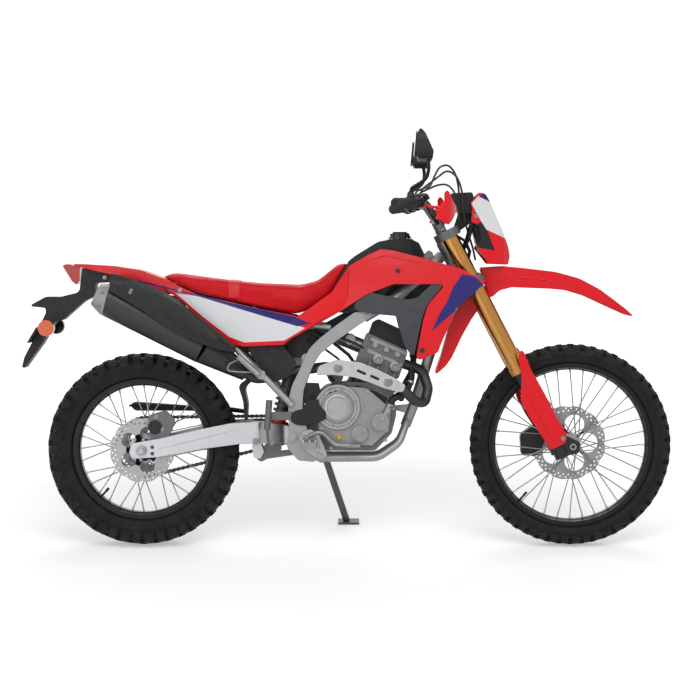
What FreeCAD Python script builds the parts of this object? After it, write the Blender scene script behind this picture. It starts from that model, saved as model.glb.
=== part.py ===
"""Dual sport motorcycle, parked on its side stand.

The machine is drawn upright, in millimetres: X runs forward from the rear axle, Y to the rider's
left and Z up from the ground. The stance then leans every sub-part to the left and shifts it, so
that the origin lies on the ground under the middle of the whole machine.
"""
import FreeCAD, Part
import Sketcher
import math
import os
from FreeCAD import Placement, Rotation, Vector

# Driving sizes
SIZES = {
    # Stance
    "wheelbase": 1455.0,
    "lean_angle": 10.0,
    "origin_forward": 693.0,
    "origin_left": 220.7,
    "running_gap": 0.3,
    "moving_gap": 5.0,
    # Front wheel
    "front_tyre_radius": 343.0,
    "front_tyre_width": 88.0,
    "front_lug_rows": 34,
    "front_bead_radius": 266.7,
    "front_rim_width": 60.0,
    "front_spoke_count": 36,
    "front_hub_half": 46.0,
    "front_flange_radius": 29.0,
    "front_disc_radius": 128.0,
    "front_disc_side": 60.0,
    # Rear wheel
    "rear_tyre_radius": 327.0,
    "rear_tyre_width": 122.0,
    "rear_lug_rows": 30,
    "rear_bead_radius": 228.6,
    "rear_rim_width": 76.0,
    "rear_spoke_count": 32,
    "rear_hub_half": 50.0,
    "rear_flange_radius": 44.0,
    "rear_disc_radius": 110.0,
    "rear_disc_side": 71.0,
    # Parts that both wheels share
    "tyre_crown_half": 15.0,
    "lug_depth": 12.0,
    "rim_flange_height": 10.3,
    "rim_well_depth": 12.0,
    "spoke_radius": 2.0,
    "disc_thickness": 4.0,
    "disc_waves": 12,
    "disc_ring_width": 28.0,
    "axle_radius": 10.0,
    # Steering and fork
    "rake_angle": 27.5,
    "trail": 109.0,
    "clamp_offset": 18.7,
    "fork_half_spread": 102.0,
    "fork_outer_radius": 28.0,
    "fork_inner_radius": 21.5,
    "fork_outer_bottom": 656.0,
    "fork_outer_top": 1190.0,
    "lower_clamp_base": 985.0,
    "lower_clamp_height": 32.0,
    "upper_clamp_base": 1168.0,
    "upper_clamp_height": 28.0,
    "head_tube_radius": 30.0,
    "stem_radius": 14.0,
    "bar_radius": 11.1,
    "bar_half_width": 410.0,
    "grip_radius": 17.0,
    "grip_length": 125.0,
    # Frame and swingarm
    "pivot_forward": 515.0,
    "pivot_height": 373.0,
    "pivot_shaft_radius": 9.0,
    "spar_inner_side": 92.0,
    "spar_thickness": 28.0,
    "beam_radius": 19.0,
    "down_tube_radius": 18.0,
    "rail_radius": 13.0,
    "subframe_tube_radius": 11.0,
    "arm_inner_side": 89.0,
    "arm_thickness": 24.0,
    # Drive
    "chain_pitch": 15.875,
    "chain_side": 76.0,
    "chain_width": 17.0,
    "chain_plate_height": 13.0,
    "chain_waist_height": 8.0,
    "rear_sprocket_teeth": 40,
    "front_sprocket_teeth": 14,
    "front_sprocket_forward": 575.0,
    "front_sprocket_height": 400.0,
    # Rear suspension
    "shock_eye_half": 18.0,
    "spring_coils": 8,
    "link_half": 30.0,
    # Engine and exhaust
    "case_right_side": 80.0,
    "case_left_side": 60.0,
    "cylinder_half_width": 66.0,
    "clutch_cover_radius": 76.0,
    "header_radius": 17.0,
    "muffler_radius": 56.0,
    "muffler_outlet_radius": 20.0,
    # Body panels
    "panel_thickness": 5.0,
    "tank_half_width": 112.0,
    "seat_half_width": 112.0,
    "fender_half_width": 76.0,
    # Number plate bolts and stand
    "plate_bolt_spacing": 178.0,
    "plate_bolt_hole_radius": 3.5,
    "stand_leg_radius": 12.0,
    "stand_pivot_forward": 610.0,
    "stand_pivot_side": 140.0,
    "stand_pivot_height": 305.0,
    "stand_foot_forward": 690.0,
    "stand_foot_side": 262.0,
}

doc = FreeCAD.newDocument("dual_sport_motorcycle")
sizes = doc.addObject("Spreadsheet::Sheet", "sizes")
for row, (alias, number) in enumerate(SIZES.items(), 1):
    sizes.set("A%d" % row, alias)
    sizes.set("B%d" % row, str(number))
    sizes.setAlias("B%d" % row, alias)
doc.recompute()


def mm(alias):
    """The number in the sheet's cell of that name."""
    return float(sizes.get(alias))


# General tools
def bind(feature, prop, value):
    """Sets a property, as a formula of the sheet's cells where the value is text."""
    if isinstance(value, str):
        feature.setExpression(prop, value)
    else:
        setattr(feature, prop, value)


def cylinder(name, radius, start, end):
    start = Vector(*start)
    along = Vector(*end) - start
    feature = doc.addObject("Part::Cylinder", name)
    bind(feature, "Radius", radius)
    feature.Height = along.Length
    feature.Placement = Placement(start, Rotation(Vector(0, 0, 1), along))
    return feature


def cone(name, radius1, radius2, start, end):
    start = Vector(*start)
    along = Vector(*end) - start
    feature = doc.addObject("Part::Cone", name)
    bind(feature, "Radius1", radius1)
    bind(feature, "Radius2", radius2)
    feature.Height = along.Length
    feature.Placement = Placement(start, Rotation(Vector(0, 0, 1), along))
    return feature


def block(name, low, high):
    """A box between two corners."""
    feature = doc.addObject("Part::Box", name)
    feature.Length = high[0] - low[0]
    feature.Width = high[1] - low[1]
    feature.Height = high[2] - low[2]
    feature.Placement = Placement(Vector(*low), Rotation())
    return feature


def solid_feature(name, shape):
    feature = doc.addObject("Part::Feature", name)
    feature.Shape = shape
    return feature


def fuse(name, parts):
    feature = doc.addObject("Part::MultiFuse", name)
    feature.Shapes = parts
    feature.Refine = True
    return feature


def cut(name, base, tool):
    feature = doc.addObject("Part::Cut", name)
    feature.Base = base
    feature.Tool = tool
    return feature


def common(name, parts):
    feature = doc.addObject("Part::MultiCommon", name)
    feature.Shapes = parts
    return feature


def group(name, parts):
    """Like pieces on one body that don't touch each other."""
    feature = doc.addObject("Part::Compound", name)
    feature.Links = parts
    return feature


def mirrored(part):
    """The same piece on the other side of the machine."""
    feature = doc.addObject("Part::Mirroring", part.Name + "_mirrored")
    feature.Source = part
    feature.Normal = Vector(0, 1, 0)
    return feature


def both_sides(name, part):
    return group(name, [part, mirrored(part)])


def rounded_edges(points, closed):
    """Straight runs joined by tangent arcs. A point is (x, y, z) or (x, y, z, radius)."""
    corners = [Vector(*p[:3]) for p in points]
    count = len(corners)
    starts, ends, arcs = {}, {}, {}
    for i in range(count):
        starts[i] = ends[i] = corners[i]
        if not closed and i in (0, count - 1):
            continue
        radius = points[i][3] if len(points[i]) > 3 else 0.0
        to_before = corners[i - 1] - corners[i]
        to_after = corners[(i + 1) % count] - corners[i]
        turn = math.pi - to_before.getAngle(to_after)
        if radius <= 0 or turn < 1e-4:
            continue
        widest = 0.45 * min(to_before.Length, to_after.Length) / math.tan(turn / 2)
        radius = min(radius, widest)
        reach = radius * math.tan(turn / 2)
        to_before.normalize()
        to_after.normalize()
        inward = to_before + to_after
        inward.normalize()
        starts[i] = corners[i] + to_before * reach
        ends[i] = corners[i] + to_after * reach
        middle = corners[i] + inward * (radius / math.cos(turn / 2) - radius)
        arcs[i] = Part.Arc(starts[i], middle, ends[i]).toShape()
    edges = []
    for i in range(count if closed else count - 1):
        if i in arcs:
            edges.append(arcs[i])
        edges.append(Part.LineSegment(ends[i], starts[(i + 1) % count]).toShape())
    return edges


def side_points(points, side):
    """Points of an outline seen from the side, (x, z) or (x, z, radius), at one Y."""
    return [(p[0], side, p[1]) + tuple(p[2:]) for p in points]


def slab(name, points, low_side, high_side):
    """An outline seen from the side, extruded from one Y to another."""
    wire = solid_feature(name + "_outline", Part.Wire(rounded_edges(side_points(points, low_side), True)))
    feature = doc.addObject("Part::Extrusion", name)
    feature.Base = wire
    feature.DirMode = "Custom"
    feature.Dir = Vector(0, 1, 0)
    feature.LengthFwd = high_side - low_side
    feature.Solid = True
    return feature


def plan_slab(name, points, low, high):
    """An outline seen from above, (x, y) or (x, y, radius), extruded from one Z to another."""
    flat = [(p[0], p[1], low) + tuple(p[2:]) for p in points]
    wire = solid_feature(name + "_outline", Part.Wire(rounded_edges(flat, True)))
    feature = doc.addObject("Part::Extrusion", name)
    feature.Base = wire
    feature.DirMode = "Custom"
    feature.Dir = Vector(0, 0, 1)
    feature.LengthFwd = high - low
    feature.Solid = True
    return feature


def front_slab(name, points, low, high):
    """An outline seen from the front, (y, z) or (y, z, radius), extruded from one X to another."""
    flat = [(low, p[0], p[1]) + tuple(p[2:]) for p in points]
    wire = solid_feature(name + "_outline", Part.Wire(rounded_edges(flat, True)))
    feature = doc.addObject("Part::Extrusion", name)
    feature.Base = wire
    feature.DirMode = "Custom"
    feature.Dir = Vector(1, 0, 0)
    feature.LengthFwd = high - low
    feature.Solid = True
    return feature


def plan_both(half_outline):
    """A closed plan outline from its left half, listed from rear to front."""
    return half_outline + [(p[0], -p[1]) + tuple(p[2:]) for p in reversed(half_outline)]


def tube(name, radius, points, bend=None):
    """A round tube along straight runs with tangent arcs, each as large as its runs allow."""
    free = 1e6 if bend is None else bend
    path = [tuple(p[:3]) + (p[3] if len(p) > 3 else free,) for p in points]
    edges = rounded_edges(path, False)
    spine = solid_feature(name + "_spine", Part.Wire(edges))
    start = Vector(*points[0][:3])
    along = Vector(*points[1][:3]) - start
    profile = doc.addObject("Part::Circle", name + "_profile")
    bind(profile, "Radius", radius)
    profile.Placement = Placement(start, Rotation(Vector(0, 0, 1), along))
    feature = doc.addObject("Part::Sweep", name)
    feature.Sections = [profile]
    feature.Spine = (spine, ["Edge%d" % (i + 1) for i in range(len(edges))])
    feature.Solid = True
    return feature


def from_place(place, points):
    """Outline points given from a place in the side view, (x, z) or (x, z, radius)."""
    return [(place.x + p[0], place.z + p[1]) + tuple(p[2:]) for p in points]


def ahead_of(place, points):
    """Plan points given ahead of a place, (x, y) or (x, y, radius)."""
    return [(place.x + p[0],) + tuple(p[1:]) for p in points]


def route_from(place, points):
    """Route points given from a place on the middle plane, (x, y, z)."""
    return [(place.x + p[0], p[1], place.z + p[2]) for p in points]


def curved_panel(name, outline, levels, inward):
    """A panel on the left: an outline from the side, cut from a skin that bulges in plan.

    levels lists (z, [(x, y), ...]), the skin's outer line at each height, and inward is the step
    from its outer face to its inner face.
    """
    wires = []
    for height, line in levels:
        outer = [Vector(x, y, height) for x, y in line]
        inner = [Vector(x, y, height) + inward for x, y in reversed(line)]
        curves = []
        for points in (outer, inner):
            curve = Part.BSplineCurve()
            curve.interpolate(points)
            curves.append(curve.toShape())
        ends = [Part.LineSegment(outer[-1], inner[0]).toShape(),
                Part.LineSegment(inner[-1], outer[0]).toShape()]
        wires.append(Part.Wire([curves[0], ends[0], curves[1], ends[1]]))
    skin = solid_feature(name + "_skin", Part.makeLoft(wires, True))
    cutter = slab(name + "_cutter", outline, 0.0, 500.0)
    return common(name, [skin, cutter])


def turned(name, profile, centre):
    """A ring or shaft turned about an axis along Y. profile lists (side, radius) pairs."""
    body = doc.addObject("PartDesign::Body", name)
    plane = [o for o in body.Origin.OriginFeatures if o.Role == "YZ_Plane"][0]
    sketch = body.newObject("Sketcher::SketchObject", name + "_profile")
    sketch.AttachmentSupport = (plane, [""])
    sketch.MapMode = "FlatFace"
    count = len(profile)
    for i, (side, radius) in enumerate(profile):
        end_side, end_radius = profile[(i + 1) % count]
        line = Part.LineSegment(Vector(side, radius, 0), Vector(end_side, end_radius, 0))
        sketch.addGeometry(line, False)
    for i in range(count):
        sketch.addConstraint(Sketcher.Constraint("Coincident", i, 2, (i + 1) % count, 1))
    for i, (side, radius) in enumerate(profile):
        sketch.addConstraint(Sketcher.Constraint("DistanceX", -1, 1, i, 1, side))
        sketch.addConstraint(Sketcher.Constraint("DistanceY", -1, 1, i, 1, radius))
    turn = body.newObject("PartDesign::Revolution", name + "_turn")
    turn.Profile = sketch
    turn.ReferenceAxis = (sketch, ["H_Axis"])
    turn.Angle = 360
    body.Placement = Placement(Vector(*centre), Rotation())
    return body


def both_halves(half):
    """A closed turned profile from its left half, listed from the outside inward."""
    return half + [(-side, radius) for side, radius in reversed(half)]


# Places that follow from the driving sizes
REAR_AXLE = Vector(0, 0, mm("rear_tyre_radius"))
FRONT_AXLE = Vector(mm("wheelbase"), 0, mm("front_tyre_radius"))
RAKE = math.radians(mm("rake_angle"))
STEER_GROUND = Vector(mm("wheelbase") + mm("trail"), 0, 0)
STEER_UP = Vector(-math.sin(RAKE), 0, math.cos(RAKE))
STEER_AHEAD = Vector(math.cos(RAKE), 0, math.sin(RAKE))

FORK_FRAME = Placement(STEER_GROUND, Rotation(Vector(0, 1, 0), -mm("rake_angle")))


def fork_point(ahead, side, up):
    """A point given ahead of the steering axis, to the left, and up along that axis."""
    place = STEER_GROUND + STEER_AHEAD * ahead + STEER_UP * up
    return (place.x, side, place.z)


BRIDGE_AHEAD = 48.0
LOWER_CLAMP = Vector(*fork_point(0, 0, mm("lower_clamp_base")))
UPPER_CLAMP = Vector(*fork_point(0, 0, mm("upper_clamp_base")))
AXLE_UP = (FRONT_AXLE - STEER_GROUND).dot(STEER_UP)
PIVOT = Vector(mm("pivot_forward"), 0, mm("pivot_height"))


# Leant on its tyres' flat crowns, the machine rises by this much
GROUND_RISE = mm("tyre_crown_half") * math.sin(math.radians(mm("lean_angle")))
STAND_PIVOT = Vector(mm("stand_pivot_forward"), mm("stand_pivot_side"), mm("stand_pivot_height"))
STAND_FOOT = Vector(mm("stand_foot_forward"), mm("stand_foot_side"),
                    mm("stand_foot_side") * math.tan(math.radians(mm("lean_angle")))
                    - GROUND_RISE / math.cos(math.radians(mm("lean_angle"))))
# The leg swings from its foot to a line that points back, a little out and up
STAND_STOWED = Vector(-0.985, 0.10, 0.10)
STAND_AXIS = (STAND_FOOT - STAND_PIVOT).cross(STAND_STOWED)
STAND_AXIS.normalize()


def sprocket_radius(teeth):
    return mm("chain_pitch") / (2 * math.sin(math.pi / teeth))


# The left upper beam's line, from the head tube to the spar
BEAM_ROUTE = [fork_point(-32, 22, 1127), fork_point(-147, 55, 1091), (840, 88, 830),
              (752, mm("spar_inner_side") + 12, 778)]

# The finished sub-parts, and those of their forms that cut a neighbour
nodes = {}
upright = {}


# Wheels
def sector(profile, start, end):
    """A wedge of a ring round the Y axis, flat between two angles, its flats at the profile's radii."""
    stretch = 1 / math.cos((end - start) / 2)
    ends = []
    for angle in (start, end):
        ahead, up = stretch * math.cos(angle), stretch * math.sin(angle)
        ends.append([Vector(radius * ahead, side, radius * up) for side, radius in profile])
    faces = [Part.Face(Part.makePolygon(ring + ring[:1])) for ring in ends]
    for i in range(len(profile)):
        first, last = ends[0], ends[1]
        faces.append(Part.Face(Part.makePolygon([first[i - 1], first[i], last[i], last[i - 1],
                                                 first[i - 1]])))
    shell = Part.makeShell(faces)
    shell.sewShape()
    solid = Part.makeSolid(shell)
    if solid.Volume < 0:
        solid.reverse()
    return solid


def tyre(name, centre, radius, width, bead, rim_width, lug_rows):
    """A knobby tyre seated on the rim's bead: pairs of shoulder lugs alternate with centre lugs."""
    gap = mm("running_gap")
    inner_half = rim_width / 2 - 3.0 - gap
    shoulder = radius - 0.28 * (radius - bead)
    crown = mm("tyre_crown_half")
    floor = radius - mm("lug_depth")
    wall = [
        (inner_half, bead + gap),
        (inner_half, bead + mm("rim_flange_height") + 2.0),
        (width * 0.46, bead + 0.35 * (radius - bead)),
    ]
    centre_lug = wall + [(width * 0.47, shoulder - 6.0), (crown, floor), (crown, radius)]
    shoulder_lugs = wall + [(width * 0.5, shoulder - 8.0), (width * 0.5, shoulder + 4.0),
                            (crown + 3.0, radius - 3.0), (crown, floor)]
    profiles = [both_halves(centre_lug), both_halves(shoulder_lugs)]
    step = math.pi / lug_rows
    lowest = -math.pi / 2
    sectors = [sector(profiles[i % 2], lowest + (i - 0.5) * step, lowest + (i + 0.5) * step)
               for i in range(2 * lug_rows)]
    feature = solid_feature(name, sectors[0].multiFuse(sectors[1:]).removeSplitter())
    feature.Placement = Placement(Vector(*centre), Rotation())
    return feature


def rim(name, centre, bead, rim_width):
    """A drop-centre rim: two flanges, two bead seats and a well."""
    half_width = rim_width / 2
    well = bead - mm("rim_well_depth")
    outer = [
        (half_width, bead + mm("rim_flange_height")),
        (half_width - 3.0, bead + mm("rim_flange_height")),
        (half_width - 3.0, bead),
        (half_width - 14.0, bead - 2.0),
        (half_width - 19.0, well + 4.5),
    ]
    inner = [(half_width - 18.0, well), (half_width - 8.0, bead - 7.0), (half_width, bead - 4.0)]
    profile = outer + [(-s, r) for s, r in reversed(outer)] + [(-s, r) for s, r in reversed(inner)] + inner
    return turned(name, profile, centre)


def hub_with_spokes(name, centre, half, flange, count, rim_face, rim_offset):
    """A hub turned with two flanges, and its laced spokes."""
    bore = mm("axle_radius") + mm("running_gap")
    profile = [
        (half, bore), (half, 21.0), (half - 10.0, 21.0), (half - 12.0, flange + 5.0),
        (half - 17.0, flange + 5.0), (half - 21.0, flange - 9.0),
    ]
    hub = turned(name + "_core", both_halves(profile), centre)
    spokes = [hub]
    spoke_sides = 6
    for i in range(count):
        side = 1 if i % 2 else -1
        lace = 1 if (i // 2) % 2 else -1
        step = 2 * math.pi / count
        hub_angle = i * step + lace * math.radians(56.0)
        rim_angle = i * step
        flange_side = side * (half - 14.5)
        start = Vector(flange * math.cos(hub_angle), flange_side, flange * math.sin(hub_angle))
        end = Vector(rim_face * math.cos(rim_angle), side * rim_offset, rim_face * math.sin(rim_angle))
        spoke = doc.addObject("Part::Prism", "%s_spoke_%d" % (name, i + 1))
        spoke.Polygon = spoke_sides
        spoke.setExpression("Circumradius", "sizes.spoke_radius")
        spoke.Height = (end - start).Length
        spoke.Placement = Placement(Vector(*centre) + start, Rotation(Vector(0, 0, 1), end - start))
        spokes.append(spoke)
    return fuse(name, spokes)


def waved_edge(radius):
    """A brake disc's outer edge: outward arcs that meet in shallow notches."""
    waves = int(mm("disc_waves"))
    notch = radius - 5.0

    def at(distance, place):
        angle = 2 * math.pi * place / waves
        return Vector(distance * math.cos(angle), 0, distance * math.sin(angle))

    return [Part.Arc(at(notch, i), at(radius, i + 0.5), at(notch, i + 1)).toShape() for i in range(waves)]


def toothed_edge(radius, teeth):
    """A sprocket's outer edge: flat-topped teeth with flat roots."""
    corners = []
    for i in range(teeth):
        for place, distance in ((0.12, radius), (0.38, radius - 6.0), (0.62, radius - 6.0), (0.88, radius)):
            angle = 2 * math.pi * (i + place) / teeth
            corners.append(Vector(distance * math.cos(angle), 0, distance * math.sin(angle)))
    return [Part.LineSegment(corners[i - 1], corners[i]).toShape() for i in range(len(corners))]


def disc(name, centre, side, edge, ring_inner, hub_radius):
    """A plate with that outer edge, cut to a ring on a five-armed carrier."""
    thickness = mm("disc_thickness")
    low = (centre[0], side - thickness / 2, centre[2])
    high = (centre[0], side + thickness / 2, centre[2])
    outline = solid_feature(name + "_edge", Part.Wire(edge))
    outline.Placement = Placement(Vector(*low), Rotation())
    plate = doc.addObject("Part::Extrusion", name + "_plate")
    plate.Base = outline
    plate.DirMode = "Custom"
    plate.Dir = Vector(0, 1, 0)
    plate.setExpression("LengthFwd", "sizes.disc_thickness")
    plate.Solid = True
    arms = 5
    openings = []
    middle = (ring_inner + hub_radius + 12.0) / 2
    for i in range(arms):
        angle = 2 * math.pi * i / arms
        x = centre[0] + middle * math.cos(angle)
        z = centre[2] + middle * math.sin(angle)
        hole = (ring_inner - hub_radius - 12.0) / 2
        openings.append(cylinder("%s_window_%d" % (name, i + 1), hole, (x, low[1] - 1, z),
                                 (x, high[1] + 1, z)))
    openings.append(cylinder(name + "_bore", hub_radius, (low[0], low[1] - 1, low[2]),
                             (high[0], high[1] + 1, high[2])))
    return cut(name, plate, fuse(name + "_openings", openings))


def front_wheel():
    centre = tuple(FRONT_AXLE)
    bead = mm("front_bead_radius")
    nodes["front_tyre"] = tyre("front_tyre", centre, mm("front_tyre_radius"), mm("front_tyre_width"),
                               bead, mm("front_rim_width"), int(mm("front_lug_rows")))
    nodes["front_rim"] = rim("front_rim", centre, bead, mm("front_rim_width"))
    face = bead - mm("rim_well_depth") - mm("spoke_radius") / 2
    nodes["front_hub"] = hub_with_spokes("front_hub", centre, mm("front_hub_half"),
                                         mm("front_flange_radius"), int(mm("front_spoke_count")), face, 6.0)
    side = mm("front_disc_side")
    gap = mm("running_gap")
    seat = cylinder("front_disc_seat", 34.0, (centre[0], mm("front_hub_half") + gap, centre[2]),
                    (centre[0], side + 5.0, centre[2]))
    bore = cylinder("front_disc_seat_bore", mm("axle_radius") + gap,
                    (centre[0], mm("front_hub_half"), centre[2]), (centre[0], side + 6.0, centre[2]))
    radius = mm("front_disc_radius")
    plate = disc("front_disc_plate", centre, side, waved_edge(radius), radius - mm("disc_ring_width"), 20.0)
    nodes["front_disc"] = cut("front_disc", fuse("front_disc_solid", [plate, seat]), bore)


def rear_wheel():
    centre = tuple(REAR_AXLE)
    bead = mm("rear_bead_radius")
    gap = mm("running_gap")
    nodes["rear_tyre"] = tyre("rear_tyre", centre, mm("rear_tyre_radius"), mm("rear_tyre_width"),
                              bead, mm("rear_rim_width"), int(mm("rear_lug_rows")))
    nodes["rear_rim"] = rim("rear_rim", centre, bead, mm("rear_rim_width"))
    face = bead - mm("rim_well_depth") - mm("spoke_radius") / 2
    nodes["rear_hub"] = hub_with_spokes("rear_hub", centre, mm("rear_hub_half"),
                                        mm("rear_flange_radius"), int(mm("rear_spoke_count")), face, 10.0)
    side = -mm("rear_disc_side")
    seat = cylinder("rear_disc_seat", 38.0, (0, -mm("rear_hub_half") - gap, centre[2]),
                    (0, side - 2.0, centre[2]))
    bore = cylinder("rear_disc_seat_bore", mm("axle_radius") + gap,
                    (0, -mm("rear_hub_half"), centre[2]), (0, side - 10.0, centre[2]))
    radius = mm("rear_disc_radius")
    plate = disc("rear_disc_plate", centre, side, waved_edge(radius), radius - mm("disc_ring_width"), 20.0)
    nodes["rear_disc"] = cut("rear_disc", fuse("rear_disc_solid", [plate, seat]), bore)
    teeth = int(mm("rear_sprocket_teeth"))
    chain_side = mm("chain_side")
    outer = sprocket_radius(teeth) - mm("chain_plate_height") / 2 - 2.0
    plate = disc("rear_sprocket_plate", centre, chain_side, toothed_edge(outer, teeth),
                 outer - mm("disc_ring_width"), 30.0)
    seat = cylinder("rear_sprocket_seat", 46.0, (0, mm("rear_hub_half") + gap, centre[2]),
                    (0, chain_side + 3.0, centre[2]))
    bore = cylinder("rear_sprocket_bore", mm("axle_radius") + gap,
                    (0, mm("rear_hub_half"), centre[2]), (0, chain_side + 5.0, centre[2]))
    nodes["rear_sprocket"] = cut("rear_sprocket", fuse("rear_sprocket_solid", [plate, seat]), bore)


# Steering and fork
def triple_clamps():
    """Two clamps that hold both fork tubes, on one stem."""
    spread = mm("fork_half_spread")
    offset = mm("clamp_offset")
    outer = mm("fork_outer_radius") + 14.0
    pieces = []
    for label, base, height in (("lower", mm("lower_clamp_base"), mm("lower_clamp_height")),
                                ("upper", mm("upper_clamp_base"), mm("upper_clamp_height"))):
        for side in (-spread, spread):
            pieces.append(cylinder("clamp_%s_eye" % label, outer, fork_point(offset, side, base),
                                   fork_point(offset, side, base + height)))
        pieces.append(cylinder("clamp_%s_centre" % label, 27.0, fork_point(0, 0, base),
                               fork_point(0, 0, base + height)))
        bridge = block("clamp_%s_bridge" % label, (-12.0, -spread, base + 3.0),
                       (BRIDGE_AHEAD, spread, base + height - 3.0))
        bridge.Placement = FORK_FRAME.multiply(bridge.Placement)
        pieces.append(bridge)
    pieces.append(cylinder("stem", "sizes.stem_radius", fork_point(0, 0, mm("lower_clamp_base")),
                           fork_point(0, 0, mm("upper_clamp_base") + mm("upper_clamp_height") + 12.0)))
    # Bar risers on the upper clamp
    top = mm("upper_clamp_base") + mm("upper_clamp_height")
    for side in (-48.0, 48.0):
        pieces.append(cylinder("bar_riser", 17.0, fork_point(6.0, side, top - 2.0),
                               fork_point(6.0, side, top + 42.0)))
    solid = fuse("triple_clamps_solid", pieces)
    bores = [cylinder("clamp_bore", "sizes.fork_outer_radius + sizes.running_gap",
                      fork_point(offset, side, mm("lower_clamp_base") - 5),
                      fork_point(offset, side, top + 5)) for side in (-spread, spread)]
    bar_up = top + 42.0
    bores.append(cylinder("bar_seat", "sizes.bar_radius + sizes.running_gap", fork_point(6.0, -80, bar_up),
                          fork_point(6.0, 80, bar_up)))
    nodes["triple_clamps"] = cut("triple_clamps", solid, fuse("clamp_bores", bores))
    return bar_up


def fork():
    spread = mm("fork_half_spread")
    offset = mm("clamp_offset")
    outers, sliders = [], []
    for label, side in (("right", -spread), ("left", spread)):
        low = mm("fork_outer_bottom")
        tube_solid = cylinder("outer_%s" % label, "sizes.fork_outer_radius", fork_point(offset, side, low),
                              fork_point(offset, side, mm("fork_outer_top")))
        collar = cylinder("outer_collar_%s" % label, "sizes.fork_outer_radius + 3",
                          fork_point(offset, side, low),
                          fork_point(offset, side, low + 22.0))
        socket = cylinder("outer_bore_%s" % label, "sizes.fork_inner_radius + sizes.running_gap",
                          fork_point(offset, side, low - 1),
                          fork_point(offset, side, low + 31.0))
        outers.append(cut("fork_outer_%s" % label, fuse("outer_solid_%s" % label, [tube_solid, collar]),
                          socket))
        inner = cylinder("inner_%s" % label, "sizes.fork_inner_radius", fork_point(offset, side, 400.0),
                         fork_point(offset, side, low + 30.0))
        foot = cylinder("casting_%s" % label, 27.0, fork_point(offset, side, AXLE_UP - 18.0),
                        fork_point(offset, side, 440.0))
        ear = slab("axle_ear_%s" % label, axle_ear_outline(), side - 20.0, side + 20.0)
        sliders += [inner, foot, ear]
    reach = spread + 30.0
    axle = cylinder("front_axle", "sizes.axle_radius", (FRONT_AXLE.x, -reach, FRONT_AXLE.z),
                    (FRONT_AXLE.x, reach, FRONT_AXLE.z))
    collar_inner = mm("front_disc_side") + 5.0 + mm("running_gap")
    left_collar = cylinder("front_collar_left", 16.0, (FRONT_AXLE.x, collar_inner, FRONT_AXLE.z),
                           (FRONT_AXLE.x, spread, FRONT_AXLE.z))
    right_collar = cylinder("front_collar_right", 16.0,
                            (FRONT_AXLE.x, -spread, FRONT_AXLE.z),
                            (FRONT_AXLE.x, -mm("front_hub_half") - mm("running_gap"), FRONT_AXLE.z))
    upright["fork_sliders"] = fuse("fork_sliders_form", sliders + [axle, left_collar, right_collar])
    nodes["fork_sliders"] = group("fork_sliders", [upright["fork_sliders"]])
    nodes["fork_outers"] = group("fork_outers", outers)


def axle_ear_outline():
    """The casting that carries the axle ahead of each leg, in the side view."""
    x, z = FRONT_AXLE.x, FRONT_AXLE.z
    return [(x + 26, z + 14, 12), (x + 20, z - 24, 14), (x - 14, z - 28, 14), (x - 70, z - 24, 8),
            (x - 90, z + 30, 10), (x - 64, z + 62, 10), (x - 20, z + 36, 14)]


def fork_guards():
    side = mm("fork_half_spread")
    outline = from_place(FRONT_AXLE, [(-177, 329, 5), (-185, 297, 20), (-174, 237, 30), (-177, 157, 40),
                                      (-145, 97, 40),
               (-75, -11, 12), (-25, 14, 12), (-22, 42, 12), (-55, 97, 30), (-95, 177, 60),
               (-143, 262, 40), (-165, 317, 5)])
    plate = slab("guard_plate", outline, side + 32.0, side + 37.0)
    front = from_place(FRONT_AXLE, [(-30, 59, 6), (-55, 97, 30), (-95, 177, 60), (-133, 245, 4),
                                    (-140, 242, 4),
             (-102, 175, 60), (-62, 95, 30), (-37, 57, 4)])
    lip = slab("guard_lip", front, side - 24.0, side + 37.0)
    seat_x, seat_z = FRONT_AXLE.x - 57, FRONT_AXLE.z + 29
    seat = cylinder("guard_seat", 10.0, (seat_x, side + 27.3, seat_z), (seat_x, side + 34.0, seat_z))
    nodes["fork_guards"] = both_sides("fork_guards", fuse("fork_guard_left", [plate, lip, seat]))


def handlebar(bar_up):
    """A braced-shape bar: flat middle, rise, and swept-back ends."""
    half = mm("bar_half_width")
    right = [fork_point(6.0, 0, bar_up), fork_point(6.0, -95, bar_up), fork_point(0.0, -175, bar_up + 72),
             fork_point(-95.0, -half, bar_up + 112)]
    points = [tuple((p[0], -p[1], p[2])) for p in reversed(right)] + right[1:]
    bar = tube("handlebar", "sizes.bar_radius", points, 70.0)
    nodes["handlebar"] = bar
    grips = []
    end = Vector(*right[3])
    along = (Vector(*right[2]) - end)
    along.normalize()
    root = end + along * mm("grip_length")
    tip = end - along * 6.0
    grip = cylinder("grip", "sizes.grip_radius", tuple(root), tuple(tip))
    bore = cylinder("grip_bore", "sizes.bar_radius + sizes.running_gap", tuple(root + along), tuple(end))
    nodes["grips"] = both_sides("grips", cut("grip_right", grip, bore))
    return root, along


def square_to_bar(direction, along):
    """That direction, turned square to the bar's end."""
    square = direction - along * direction.dot(along)
    square.normalize()
    return square


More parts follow.
